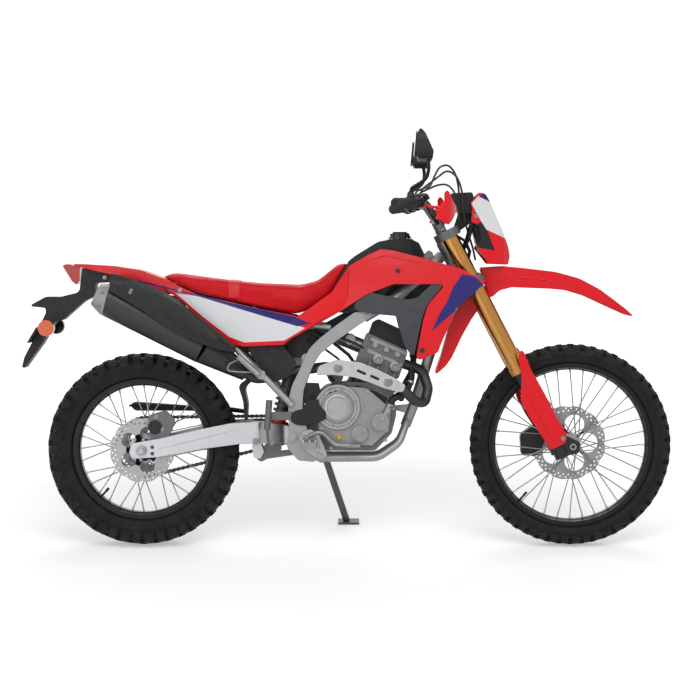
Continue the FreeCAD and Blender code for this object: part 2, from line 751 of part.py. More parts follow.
def controls(root, along):
    """Switch housings, the lever perches with their levers, and the front brake's cylinder."""
    pieces = []
    gap = mm("running_gap")
    start = root + along * gap
    housing = cylinder("switch_housing", 21.0, tuple(start), tuple(start + along * 38.0))
    perch = cylinder("lever_perch", 17.0, tuple(start + along * 38.0), tuple(start + along * 80.0))
    ahead = Vector(STEER_AHEAD)
    lever_root = start + along * 52.0 + ahead * 34.0
    arm = cylinder("perch_arm", 9.0, tuple(start + along * 52.0), tuple(lever_root))
    boss = cylinder("mirror_boss", 9.0, tuple(start + along * 52.0),
                    tuple(start + along * 52.0 + STEER_UP * 24.0))
    knuckle = cylinder("lever_knuckle", 11.0, tuple(lever_root - STEER_UP * 8.0),
                       tuple(lever_root + STEER_UP * 8.0))
    lever_end = root - along * 112.0 + ahead * 52.0
    lever = tube("lever", 5.5, [tuple(lever_root), tuple(lever_root - along * 50.0 + ahead * 24.0),
                                tuple(lever_end)], 60.0)
    ball = doc.addObject("Part::Sphere", "lever_ball")
    ball.Radius = 8.0
    ball.Placement = Placement(lever_end, Rotation())
    bore = cylinder("control_bore", "sizes.bar_radius + sizes.running_gap", tuple(root),
                    tuple(root + along * 90.0))
    solid = fuse("control_solid", [housing, perch, arm, boss, knuckle, lever, ball])
    side = cut("control_right", solid, bore)
    upright["control_right"] = side
    pieces.append(side)
    pieces.append(mirrored(side))
    nodes["controls"] = group("controls", pieces)


def hand_guards(root, along):
    """A shell ahead of each lever that turns back round the end of the bar."""
    skin = mm("panel_thickness")
    outline = from_place(UPPER_CLAMP, [(-4, 161, 4), (5, 155, 8), (20, 122, 30), (34, 102, 10), (16, 64, 20),
               (1, 47, 6), (-19, 64, 12), (-43, 67, 5), (-33, 88, 20), (-28, 109, 12),
               (-12, 126, 12), (-12, 151, 6)])
    plan = ahead_of(UPPER_CLAMP, [(-41, 388), (-3, 384), (23, 350), (31, 290), (27, 215)])
    base = UPPER_CLAMP.z
    levels = [(base + 34.0, [(x, y - 10) for x, y in plan]), (base + 104.0, plan),
              (base + 169.0, [(x, y - 14) for x, y in plan])]
    shell = curved_panel("hand_guard_shell", outline, levels, Vector(-0.75 * skin, -0.75 * skin, 0))
    out = square_to_bar(STEER_AHEAD - STEER_UP, along)
    foot = root + along * 73.0 + out * (17.0 + mm("running_gap"))
    bend = foot + out * 24.0
    bracket = tube("hand_guard_bracket", 5.0, [(foot.x, -foot.y, foot.z), (bend.x, -bend.y, bend.z)]
                   + route_from(UPPER_CLAMP, [(5, 236, 106), (26, 240, 102)]), 20.0)
    nodes["hand_guards"] = both_sides("hand_guards", fuse("hand_guard_left", [shell, bracket]))


def mirrors(root, along):
    """A mirror on a bent stalk on each side, screwed into the lever's perch."""
    side = from_place(UPPER_CLAMP, [(-92, 367, 14), (-73, 344, 40), (-47, 286, 14), (-51, 254, 10),
                                    (-95, 256, 12), (-107, 298, 60)])
    low = UPPER_CLAMP.z + 256.0
    front = [(-428, low + 8, 30), (-262, low, 24), (-258, low + 80, 30), (-300, low + 111, 40),
             (-425, low + 108, 40)]
    head = common("mirror_head", [slab("mirror_side", side, -440.0, -250.0),
                                  front_slab("mirror_front", front, UPPER_CLAMP.x - 125, UPPER_CLAMP.x - 25)])
    foot = root + along * (52.0 + mm("running_gap")) + STEER_UP * (24.0 + mm("running_gap"))
    stalk = tube("mirror_stalk", 6.0, [tuple(foot), tuple(foot + STEER_UP * 26.0)] + route_from(
        UPPER_CLAMP, [(-67, -278, 200), (-59, -318, 236), (-65, -330, 274)]), 60.0)
    nodes["mirrors"] = both_sides("mirrors", fuse("mirror_right", [stalk, head]))


def cables(root, along):
    """The front brake hose, and the clutch and throttle cables."""
    out = square_to_bar(STEER_AHEAD + STEER_UP, along)
    foot = root + along * 66.0 + out * (17.0 + mm("running_gap"))
    bend = foot + out * 30.0
    hose = tube("brake_hose", 3.5, [tuple(foot), tuple(bend)] + route_from(UPPER_CLAMP, [
        (-27, -180, 210), (5, -150, 236), (39, -118, 216),
        (57, -96, 170), (61, -84, 114), (69, -70, 60), (85, -44, 10), (99, -10, -30),
        (107, 20, -64)]))
    clutch = tube("clutch_cable", 3.5, [
        (foot.x, -foot.y, foot.z), (bend.x, -bend.y, bend.z)] + route_from(UPPER_CLAMP, [
        (-19, 168, 196), (15, 132, 198), (41, 98, 168),
        (49, 84, 120), (53, 78, 70)]))
    wrist = root + along * 20.0 + out * (21.0 + mm("running_gap"))
    throttle = tube("throttle_cable", 3.5, [
        tuple(wrist), tuple(wrist + out * 18.0)] + route_from(UPPER_CLAMP, [
        (-75, -262, 170), (-53, -236, 178), (-41, -206, 208),
        (-21, -170, 246), (9, -136, 254), (35, -104, 226), (47, -84, 174), (47, -72, 120),
        (49, -62, 70)]))
    nodes["cables"] = group("cables", [hose, clutch, throttle])


def front_fender():
    """An open-bottomed fender with a beak, and its flap behind the fork."""
    half = mm("fender_half_width")
    skin = mm("panel_thickness")
    side = from_place(LOWER_CLAMP, [(36, 72, 4), (111, 77, 60), (191, 69, 200), (291, 57, 200),
                                    (371, 35, 150),
            (441, -2, 150), (531, -68, 100), (563, -96, 3), (531, -89, 40), (491, -71, 80),
            (391, -24, 100), (331, -6, 100), (271, 0, 100), (141, 5, 40), (101, -6, 30),
            (81, -24, 20), (66, -32, 4), (59, -2, 10), (51, 31, 20)])
    plan = plan_both(ahead_of(LOWER_CLAMP, [(35, 56, 10), (121, 66, 60), (231, half, 100), (361, 70, 100),
                                            (491, 48, 60),
                      (565, 14, 10)]))
    outer = common("fender_outer", [slab("fender_side", side, -half, half),
                                    plan_slab("fender_plan", plan, LOWER_CLAMP.z - 174, LOWER_CLAMP.z + 126)])
    hollow_side = from_place(LOWER_CLAMP, [(21, 72 - 2 * skin, 0), (111, 77 - skin, 60),
                                           (191, 69 - skin, 200),
                   (291, 57 - skin, 200), (371, 35 - skin, 150), (441, -2 - skin, 150),
                   (531, -68 - skin, 100), (571, -106, 3), (571, -174, 0), (21, -174, 0)])
    hollow_plan = plan_both(ahead_of(LOWER_CLAMP, [(11, 56 - skin), (121, 66 - skin, 60),
                                                   (231, half - skin, 100),
                             (361, 70 - skin, 100), (491, 48 - skin, 60), (581, 6, 10)]))
    hollow = common("fender_hollow", [slab("fender_hollow_side", hollow_side, -half, half),
                                      plan_slab("fender_hollow_plan", hollow_plan, LOWER_CLAMP.z - 184,
                                                LOWER_CLAMP.z + 136)])
    shell = cut("fender_shell", outer, hollow)
    # The flap is a trough, open towards the tyre, that narrows to its lower tip
    flap_line = [(78, -18, 10), (42, -52, 60), (6, -105, 60), (-26, -162, 60), (-60, -234, 60),
                 (-80, -262, 60),
                 (-98, -278, 30), (-118, -294, 4)]
    flap_back = [(-112, -270, 20), (-95, -224, 60), (-71, -140, 60), (-46, -80, 60), (-12, -28, 40),
                 (20, 4, 10)]
    flap = slab("fender_flap", from_place(LOWER_CLAMP, flap_line + flap_back), -58.0, 58.0)
    hollow_line = [(x + 6, z - 4, r) for x, z, r in flap_back] + [(110, -30, 0), (0, -300, 0),
                                                                  (-106, -300, 0)]
    trough = slab("fender_flap_trough", from_place(LOWER_CLAMP, hollow_line), -52.0, 52.0)
    flap = cut("fender_flap_shell", flap, trough)
    plate = block("fender_mount", (8.0, -56.0, mm("lower_clamp_base") - mm("running_gap") - 8.0),
                  (78.0, 56.0, mm("lower_clamp_base") - mm("running_gap")))
    plate.Placement = FORK_FRAME.multiply(plate.Placement)
    nodes["front_fender"] = fuse("front_fender", [shell, flap, plate])


def cowl_and_lamp():
    """The number-plate shaped cowl, the headlight in it and the meter behind."""
    gap = mm("running_gap")
    base = UPPER_CLAMP.z
    side = from_place(UPPER_CLAMP, [(112, 162, 10), (135, 158, 20), (151, 130, 60), (175, 74, 100),
                                    (195, 29, 100),
            (213, -16, 60), (218, -51, 30), (215, -81, 6), (147, -78, 6), (105, -24, 8),
            (120, 4, 10), (115, 49, 20), (87, 64, 6), (91, 104, 20), (87, 129, 10)])
    plan = plan_both(ahead_of(UPPER_CLAMP, [(75, 106, 20), (125, 110, 60), (190, 94, 60), (221, 58, 30)]))
    outer = common("cowl_outer", [slab("cowl_side", side, -140, 140),
                                  plan_slab("cowl_plan", plan, base - 136, base + 214)])
    hollow_side = from_place(UPPER_CLAMP, [(55, 144, 0), (110, 150, 10), (128, 148, 10), (141, 124, 60),
                                           (185, 24, 100),
                   (203, -20, 60), (208, -51, 20), (206, -96, 0), (55, -96, 0)])
    hollow_plan = plan_both(ahead_of(UPPER_CLAMP, [(55, 100), (123, 105, 60), (184, 89, 60), (215, 52, 30)]))
    hollow = common("cowl_hollow", [slab("cowl_hollow_side", hollow_side, -140, 140),
                                    plan_slab("cowl_hollow_plan", hollow_plan, base - 146, base + 224)])
    lens_side = from_place(UPPER_CLAMP, [(155, 64, 10), (179, 62, 20), (215, -21, 30), (221, -51, 30),
                                         (217, -74, 10),
                 (155, -74, 10), (135, -26, 20)])
    lens_plan = plan_both(ahead_of(UPPER_CLAMP, [(115, 78, 20), (180, 84, 30), (223, 50, 30)]))
    lamp_solid = common("headlight", [slab("lamp_side", lens_side, -90, 90),
                                      plan_slab("lamp_plan", lens_plan, base - 136, base + 164)])
    window_side = [(x + (2 * gap if x > UPPER_CLAMP.x + 165 else 0), z, r) for x, z, r in lens_side]
    window = common("lamp_window", [slab("window_side", window_side, -90.0 - gap, 90.0 + gap),
                                    plan_slab("window_plan", plan_both(ahead_of(UPPER_CLAMP, [
                                        (115, 78 + gap, 20), (180, 84 + gap, 30), (235, 50 + gap, 30)])),
                                              base - 136, base + 164)])
    shell = cut("cowl_shell", outer, hollow)
    nodes["cowl"] = cut("cowl", shell, window)
    nodes["headlight"] = lamp_solid
    meter_side = from_place(UPPER_CLAMP, [(15, 160, 8), (93, 164, 8), (103, 132, 8), (85, 92, 10),
                                          (47, 92, 10)])
    meter = slab("meter_case", meter_side, -62.0, 62.0)
    clamp_front = BRIDGE_AHEAD + gap
    low = fork_point(clamp_front, 0, mm("upper_clamp_base") + 4.0)
    high = fork_point(clamp_front, 0, mm("upper_clamp_base") + mm("upper_clamp_height") - 4.0)
    stay = slab("meter_stay", [(low[0], low[2]), (high[0], high[2])] + from_place(
        UPPER_CLAMP, [(49, 96), (87, 96), (111, 86), (105, 72)]), 22.0, 28.0)
    wall = 103.0
    pin_x, pin_z = UPPER_CLAMP.x + 105, base + 80
    pin = cylinder("cowl_pin", 5.0, (pin_x, -wall, pin_z), (pin_x, wall, pin_z))
    nodes["meter"] = fuse("meter", [meter, stay, mirrored(stay), pin])


# Frame
def main_frame():
    gap = mm("running_gap")
    head_low = mm("lower_clamp_base") + mm("lower_clamp_height") + gap
    head_high = mm("upper_clamp_base") - gap
    head = cylinder("head_tube", "sizes.head_tube_radius", fork_point(0, 0, head_low),
                    fork_point(0, 0, head_high))
    head_bore = cylinder("head_bore", "sizes.stem_radius + sizes.running_gap", fork_point(0, 0, head_low - 1),
                         fork_point(0, 0, head_high + 1))
    inner = mm("spar_inner_side")
    spar_outline = [(770, 800, 10), (720, 795, 30), (650, 745, 80), (600, 705, 60), (570, 675, 60),
                    (552, 645, 60), (535, 600, 80), (510, 550, 80), (497, 500, 60), (497, 460, 60),
                    (500, 400, 40), (492, 340, 20), (530, 296, 20), (592, 290, 16), (600, 345, 30),
                    (560, 400, 40), (545, 480, 60), (548, 530, 80), (562, 570, 80), (578, 610, 60),
                    (605, 655, 60), (660, 700, 60), (740, 755, 60), (785, 784, 10)]
    spar = slab("spar_left", spar_outline, inner, inner + mm("spar_thickness"))
    spars = [spar, mirrored(spar)]
    beam = tube("upper_beam", "sizes.beam_radius", BEAM_ROUTE, 160.0)
    spars += [beam, mirrored(beam)]
    down = tube("down_tube", "sizes.down_tube_radius",
                [fork_point(-12, 0, head_low + 50.0), (985, 0, 680), (930, 0, 500), (893, 0, 405)], 300.0)
    rail = tube("lower_rail", "sizes.rail_radius",
                [(900, 8, 425), (872, 45, 350), (800, 66, 301), (640, 70, 300), (560, inner + 6, 308)], 70.0)
    cross_low = cylinder("cross_low", 14.0, (548, -inner - 5, 318), (548, inner + 5, 318))
    cross_high = cylinder("cross_high", 15.0, (556, -inner - 5, 640), (556, inner + 5, 640))
    shaft = cylinder("pivot_shaft", "sizes.pivot_shaft_radius", (PIVOT.x, -inner - 36, PIVOT.z),
                     (PIVOT.x, inner + 36, PIVOT.z))
    bracket = cylinder("stand_bracket", 17.0, tuple(STAND_PIVOT - STAND_AXIS * 46.0),
                       tuple(STAND_PIVOT - STAND_AXIS * 14.4))
    case_right, case_left = mm("case_right_side") + gap, mm("case_left_side") + gap
    mounts = [cylinder("engine_mount_right", 10.0, (585, -inner - 3, 340), (585, -case_right, 340)),
              cylinder("engine_mount_left", 10.0, (585, case_left, 340), (585, inner + 3, 340)),
              slab("engine_mount_front", [(861.2, 457.8), (858.8, 474.8), (905, 480), (893, 450)], -8.0, 8.0)]
    eye_half = mm("shock_eye_half") + gap
    ear = slab("shock_ear", [(498, 612, 12), (506, 640, 12), (562, 656, 10), (568, 632, 10), (520, 604, 12)],
               eye_half, eye_half + 6.0)
    solid = fuse("main_frame_solid", [head] + spars + mounts
                 + [down, rail, mirrored(rail), cross_low, cross_high, shaft, bracket, ear, mirrored(ear)])
    nodes["main_frame"] = cut("main_frame", solid, head_bore)


def subframe():
    inner = mm("spar_inner_side")
    seat_side = inner - mm("subframe_tube_radius") - mm("running_gap")
    upper = tube("subframe_upper", "sizes.subframe_tube_radius",
                 [(640, seat_side, 742), (560, seat_side, 755), (300, seat_side, 795), (120, 72, 833),
                  (-70, 60, 870)], 200.0)
    lower = tube("subframe_lower", "sizes.subframe_tube_radius",
                 [(512, inner + 39.5, 480), (420, inner + 38, 575), (345, inner + 14, 645),
                  (295, seat_side + 2, 700), (180, 76, 812)], 160.0)
    hanger = slab("peg_hanger", [(372, 628, 8), (398, 604, 8), (420, 596, 6), (424, 566, 8), (398, 572, 8),
                                 (362, 606, 8)], inner + 34, inner + 48)
    seat_post = cylinder("seat_post", 8.0, (375, seat_side, 782), (383.1, seat_side, 815.7))
    tail_post = cylinder("tail_post", 7.0, (-45, 62, 864), (-34.3, 62, 900.6))
    nodes["subframe"] = both_sides("subframe", fuse("subframe_left",
                                                    [upper, lower, hanger, seat_post, tail_post]))


# Engine
def engine():
    right = -mm("case_right_side")
    left = mm("case_left_side")
    case_outline = [(552, 420, 20), (560, 345, 20), (620, 326, 20), (790, 326, 25), (846, 385, 30),
                    (862, 450, 40), (850, 535, 30), (800, 556, 10), (700, 560, 20), (620, 545, 30),
                    (572, 500, 30)]
    case = slab("crankcase", case_outline, right, left)
    half = mm("cylinder_half_width")
    barrel_outline = [(690, 540, 0), (726, 636, 8), (860, 578, 8), (840, 520, 0)]
    barrel = slab("barrel", barrel_outline, -half + 8, half - 8)
    head_outline = [(722, 628, 8), (762, 726, 12), (902, 664, 12), (868, 566, 8)]
    head = slab("cylinder_head", head_outline, -half, half)
    starter = cylinder("starter_motor", 27.0, (655, -55, 578), (655, 45, 578))
    pieces = [case, barrel, head, starter]
    fin_count = 6
    for i in range(fin_count):
        rise = 14.0 + 12.0 * i
        x, z = 690 + 0.4 * rise, 536 + 0.915 * rise
        fin = [(x - 6, z + 2), (x - 4, z + 6), (x + 150, z - 58), (x + 148, z - 62)]
        pieces.append(slab("barrel_fin_%d" % (i + 1), fin, -half, half))
    nodes["engine"] = fuse("engine", pieces)
    cover = cylinder("clutch_rim", "sizes.clutch_cover_radius", (663, right, 475), (663, right - 30, 475))
    dome = cylinder("clutch_disc", 52.0, (663, right - 30, 475), (663, right - 40, 475))
    skirt = slab("right_cover", [(600, 400, 20), (640, 350, 20), (780, 345, 30), (838, 400, 30),
                                 (842, 470, 30), (760, 540, 40), (640, 548, 30), (588, 500, 30)],
                 right - 18, right)
    filter_cap = cylinder("oil_filter_cap", 28.0, (737, right - 18, 385), (737, right - 34, 385))
    pump = cylinder("water_pump", 30.0, (808, right - 18, 425), (808, right - 36, 425))
    outlet = cylinder("pump_outlet", 12.0, (815, right - 26, 430), (838, right - 26, 480))
    right_cover = fuse("right_engine_cover", [cover, dome, skirt, filter_cap, pump, outlet])
    stator = cylinder("generator_cover", 72.0, (690, left, 450), (690, left + 52, 450))
    left_skirt = slab("left_cover", [(642, 380, 30), (700, 345, 30), (790, 350, 30), (836, 420, 30),
                                     (820, 476, 30), (755, 510, 40), (700, 532, 40),
                                     (640, 500, 30)], left, left + 22)
    inner = mm("spar_inner_side")
    sprocket_cover = slab("sprocket_cover", [(545, 400, 20), (565, 362, 20), (622, 358, 10), (636, 375, 10),
                                             (636, 440, 16), (612, 456, 16), (560, 446, 16)],
                          inner - 5.2, inner - 0.3)
    post = cylinder("sprocket_cover_post", 8.0, (626, left, 376), (626, inner - 3, 376))
    nodes["engine_covers"] = group("engine_covers", [right_cover,
                                                     fuse("generator_side", [stator, left_skirt]),
                                                     fuse("sprocket_side", [sprocket_cover, post])])
    cap_outline = [(767.5, 723.9, 2), (780, 758, 16), (800, 770, 16), (900, 724, 16), (905, 700, 12),
                   (898.5, 665.9, 2)]
    nodes["head_cover"] = slab("head_cover", cap_outline, -half + 10, half - 10)


def exhaust():
    path = [(352.3, -76.9, 587.8), (382, -67.7, 569), (430, -64, 572), (530, -68, 597), (620, -76, 610),
            (705, -106, 606),
            (800, -112, 580), (878, -112, 540), (928, -100, 492), (958, -80, 488), (970, -60, 536),
            (950, -40, 597), (886.8, -40, 618.9)]
    nodes["header_pipe"] = tube("header_pipe", "sizes.header_radius", path, 45.0)
    shield = [(590, 583, 8), (600, 615, 20), (660, 637, 60), (740, 627, 60), (800, 602, 60), (860, 572, 40),
              (892, 550, 8), (884, 528, 10), (865, 528, 20), (820, 540, 60), (770, 560, 60), (720, 577, 60),
              (650, 585, 60)]
    slots = [slab("shield_slot_%d" % (i + 1), [(x - 16, z + 2, 5), (x - 13, z + 11, 5), (x + 17, z - 2, 5),
                                               (x + 14, z - 11, 5)], -140.0, -120.0)
             for i, (x, z) in enumerate(((743, 594), (788, 576)))]
    nodes["header_shield"] = cut("header_shield", slab("shield_plate", shield, -133.4, -129.4),
                                 fuse("shield_slots", slots))
    rear = (-112.0, -128.0, 839.0)
    middle = (210.0, -122.0, 678.0)
    front = (352.0, -77.0, 588.0)
    can = cylinder("muffler_can", "sizes.muffler_radius", rear, middle)
    taper = cone("muffler_taper", 27.0, "sizes.muffler_radius", front, middle)
    along = Vector(*rear) - Vector(*middle)
    along.normalize()
    tail = Vector(*rear) + along * 40.0
    cap = cone("muffler_cap", "sizes.muffler_radius", 40.0, rear, tuple(tail))
    outlet = cylinder("muffler_outlet", "sizes.muffler_outlet_radius", tuple(tail - along * 80.0),
                      tuple(tail + along * 1.0))
    nodes["muffler"] = cut("muffler", fuse("muffler_solid", [can, taper, cap]), outlet)
    cover = [(-95, 918, 20), (40, 868, 60), (130, 812, 60), (220, 760, 60), (300, 700, 20), (322, 664, 10),
             (262, 662, 20), (190, 690, 60), (50, 775, 60), (-20, 825, 60), (-60, 850, 20)]
    start = tuple(Vector(*rear) + along * 20.0)
    sleeve = cut("shield_sleeve", cylinder("shield_outer", "sizes.muffler_radius + 4.5", middle, start),
                 cylinder("shield_inner", "sizes.muffler_radius + sizes.running_gap", middle, start))
    nodes["muffler_shield"] = common("muffler_shield", [sleeve, slab("shield_side", cover, -200.0, -130.0)])


# Body panels
def steering_room(name, radius, half_nose, low, high):
    """The room that a fork leg sweeps at full lock, apart from a nose on the middle plane."""
    reach = math.hypot(mm("fork_half_spread"), mm("clamp_offset")) + radius + mm("moving_gap")
    sweep = cylinder(name + "_sweep", reach, fork_point(0, 0, low), fork_point(0, 0, high))
    nose = block(name + "_nose", (700.0, -half_nose, 600.0), (1300.0, half_nose, 1300.0))
    return cut(name, sweep, nose)


def tank_and_shrouds():
    half = mm("tank_half_width")
    skin = mm("panel_thickness")
    gap = mm("running_gap")
    side = [(610, 800, 20), (700, 968, 30), (722, 985, 30), (800, 1033, 60), (850, 1041, 60), (910, 1043, 40),
            (938, 1030, 20), (960, 985, 20), (940, 940, 30), (850, 890, 60), (800, 830, 60), (700, 790, 40)]
    plan = plan_both([(600, 70, 30), (700, 88, 80), (800, half, 120), (900, half, 100), (968, 70, 40)])
    tank = common("tank_form", [slab("tank_side", side, -half, half),
                                plan_slab("tank_plan", plan, 760, 1060)])
    tunnel = tube("tank_tunnel_left", "sizes.beam_radius + sizes.running_gap", BEAM_ROUTE, 160.0)
    beams = fuse("tank_tunnel", [tunnel, mirrored(tunnel)])
    room = fuse("steering_room", [
        steering_room("clamp_room", mm("fork_outer_radius") + 14.0, 36.0, 1150.0, 1300.0),
        steering_room("fork_room", mm("fork_outer_radius"), 50.0, 850.0, 1160.0)])
    upright["tank"] = cut("tank_form_cut", cut("tank_scalloped", tank, beams), room)
    nodes["tank"] = group("tank", [upright["tank"]])
    nodes["fuel_cap"] = fuse("fuel_cap", [
        cylinder("cap_base", 38.0, (874, 0, 1042.1), (873.6, 0, 1051)),
        cylinder("cap_top", 31.0, (873.6, 0, 1051), (873.2, 0, 1062))])
    outline = [(700, 950, 30), (760, 985, 40), (808, 1008, 30), (850, 1003, 60), (960, 975, 200),
               (1080, 940, 100), (1140, 908, 20), (1156, 894, 5), (1100, 845, 60), (1060, 810, 60),
               (1040, 760, 60), (1010, 690, 60), (1000, 662, 12), (925, 630, 12), (935, 690, 40),
               (950, 770, 60), (965, 820, 60), (1025, 890, 8), (850, 890, 60), (760, 855, 60),
               (660, 790, 100), (560, 735, 100), (500, 704, 10), (560, 738, 10), (600, 762, 40)]
    levels = [(600.0, [(480, 100), (640, 116), (800, 138), (1000, 150), (1170, 162)]),
              (800.0, [(480, 102), (640, 120), (800, 146), (1000, 170), (1170, 186)]),
              (1020.0, [(480, 96), (640, 104), (800, 118), (1000, 150), (1170, 176)])]
    shroud = curved_panel("shroud_skin", outline, levels, Vector(0, -skin, 0))
    peg = cylinder("shroud_peg", 7.0, (850, half + gap, 950), (850, half + 24.0, 950))
    nodes["shrouds"] = both_sides("shrouds", fuse("shroud_left", [shroud, peg]))
    duct = [(700, 806, 20), (764, 868, 20), (800, 856, 60), (900, 838, 60), (930, 845, 20), (972, 884, 20),
            (985, 905, 6), (1030, 905, 6),
            (960, 815, 40), (945, 770, 40), (928, 690, 20), (918, 640, 8), (890, 680, 30), (870, 740, 30),
            (860, 783, 10), (780, 790, 30)]
    inner_levels = [(height, [(x, y - skin - gap) for x, y in line]) for height, line in levels]
    nodes["ducts"] = both_sides("ducts", curved_panel("duct_left", duct, inner_levels, Vector(0, -skin, 0)))


def seat_and_tail():
    half = mm("seat_half_width")
    skin = mm("panel_thickness")
    gap = mm("running_gap")
    side = [(60, 922, 10), (120, 919, 60), (200, 908, 200), (300, 895, 200), (400, 885, 200), (540, 880, 100),
            (600, 896, 80), (660, 945, 80), (698, 976, 10), (690, 948, 60), (672, 885, 60), (640, 858, 60),
            (600, 830, 60), (560, 800, 40), (525, 788, 40), (400, 812, 200), (300, 836, 200),
            (200, 856, 200), (120, 893, 40), (80, 909, 20)]
    plan = plan_both([(58, 70, 20), (140, 98, 60), (300, half, 200), (420, half, 150), (540, 92, 100),
                      (640, 76, 60), (700, 70, 20)])
    seat = common("seat_form", [slab("seat_side", side, -half, half),
                                plan_slab("seat_plan", plan, 760, 1000)])
    nodes["seat"] = cut("seat", seat, upright["tank"])
    outline = [(70, 900, 10), (118, 888, 30), (200, 851, 100), (300, 831, 100), (400, 807, 100),
               (525, 783, 30), (556, 745, 20), (500, 700, 20), (480, 685, 10), (345, 680, 20), (300, 690, 30),
               (240, 740, 60), (180, 790, 60), (130, 840, 30), (90, 864, 10)]
    levels = [(660.0, [(40, 88), (200, 104), (360, 116), (570, 116)]),
              (780.0, [(40, 92), (200, 112), (360, 124), (570, 112)]),
              (910.0, [(40, 90), (200, 108), (360, 114), (570, 100)])]
    cover = curved_panel("side_cover_skin", outline, levels, Vector(0, -skin, 0))
    rail_face = mm("spar_inner_side")
    pegs = [cylinder("side_cover_peg", 6.0, (300, rail_face, 794), (300, 117, 794)),
            cylinder("side_cover_peg", 6.0, (440, rail_face, 773), (440, 121.5, 773))]
    nodes["side_covers"] = both_sides("side_covers", fuse("side_cover_left", [cover] + pegs))
    airbox = [(318, 690, 10), (330, 660, 10), (455, 652, 10), (485, 672, 10), (500, 700, 10), (500, 778, 10),
              (318, 778, 10)]
    box = slab("airbox_body", airbox, -66.0, 66.0)
    rail_inner = mm("spar_inner_side") - 2 * (mm("subframe_tube_radius") + gap)
    tab = block("airbox_tab", (405, 60, 766), (440, rail_inner, 778))
    cover = slab("lower_cover", [(354, 680, 10), (480, 680, 10), (526, 622, 20), (500, 575, 30),
                                 (440, 560, 20),
                                 (388, 622, 60)], 90.0, 94.0)
    rib = slab("lower_cover_rib", [(374, 664), (450, 664), (450, 676), (374, 676)], 64.0, 92.0)
    side = fuse("lower_cover_left", [cover, rib])
    nodes["airbox"] = fuse("airbox", [box, side, mirrored(side), tab, mirrored(tab)])
    tail = [(-253, 958, 6), (-200, 957, 40), (-100, 951, 200), (0, 936, 100), (50, 917, 20), (112, 896, 4),
            (96, 852, 6), (60, 869, 40), (0, 891, 80), (-100, 920, 100), (-205, 945, 20)]
    tail_plan = plan_both([(-255, 34, 16), (-160, 60, 60), (0, 80, 100), (118, 88, 20)])
    outer = common("tail_outer", [slab("tail_side", tail, -100, 100),
                                  plan_slab("tail_plan", tail_plan, 800, 1000)])
    nodes["tail_fender"] = outer
    lamp = [(-275, 954, 6), (-253, 957.4, 4), (-214, 947, 4), (-217, 900, 6), (-224, 884, 8), (-242, 900, 10),
            (-255, 922, 10)]
    nodes["tail_light"] = slab("tail_light", lamp, -34.0, 34.0)
    under = [(-206, 944.4, 4), (-100, 919.4, 20), (-98, 895, 10), (-160, 893, 10), (-160, 850, 20),
             (-200, 830, 20), (-270, 768, 10), (-300, 760, 6), (-340, 690, 60), (-402, 604, 4),
             (-412, 606, 4), (-404, 640, 60), (-362, 720, 60), (-345, 760, 10), (-330, 790, 20),
             (-330, 808, 8), (-378, 813, 4), (-378, 820, 4), (-330, 846, 8), (-280, 846, 30),
             (-215, 862, 20)]
    spacing = mm("plate_bolt_spacing")
    tail_body = slab("plate_carrier", under, -40.0, 40.0)
    plate = slab("plate_back", [(-354, 745, 2), (-349, 742, 2), (-380, 690, 2), (-385, 693, 2)],
                 -spacing / 2 - 14, spacing / 2 + 14)
    holes = []
    for side_y in (-spacing / 2, spacing / 2):
        holes.append(cylinder("plate_hole", "sizes.plate_bolt_hole_radius", (-410, side_y, 738),
                              (-340, side_y, 696)))
    nodes["plate_bracket"] = cut("plate_bracket", fuse("plate_bracket_solid", [tail_body, plate]),
                                 fuse("plate_holes", holes))
    pod = cylinder("indicator_pod", 27.0, (-315, 118, 742), (-315, 150, 742))
    stalk = cylinder("indicator_stalk", 7.0, (-315, 40.3, 757), (-315, 122, 757))
    nodes["indicators"] = both_sides("indicators", fuse("indicator_left", [pod, stalk]))


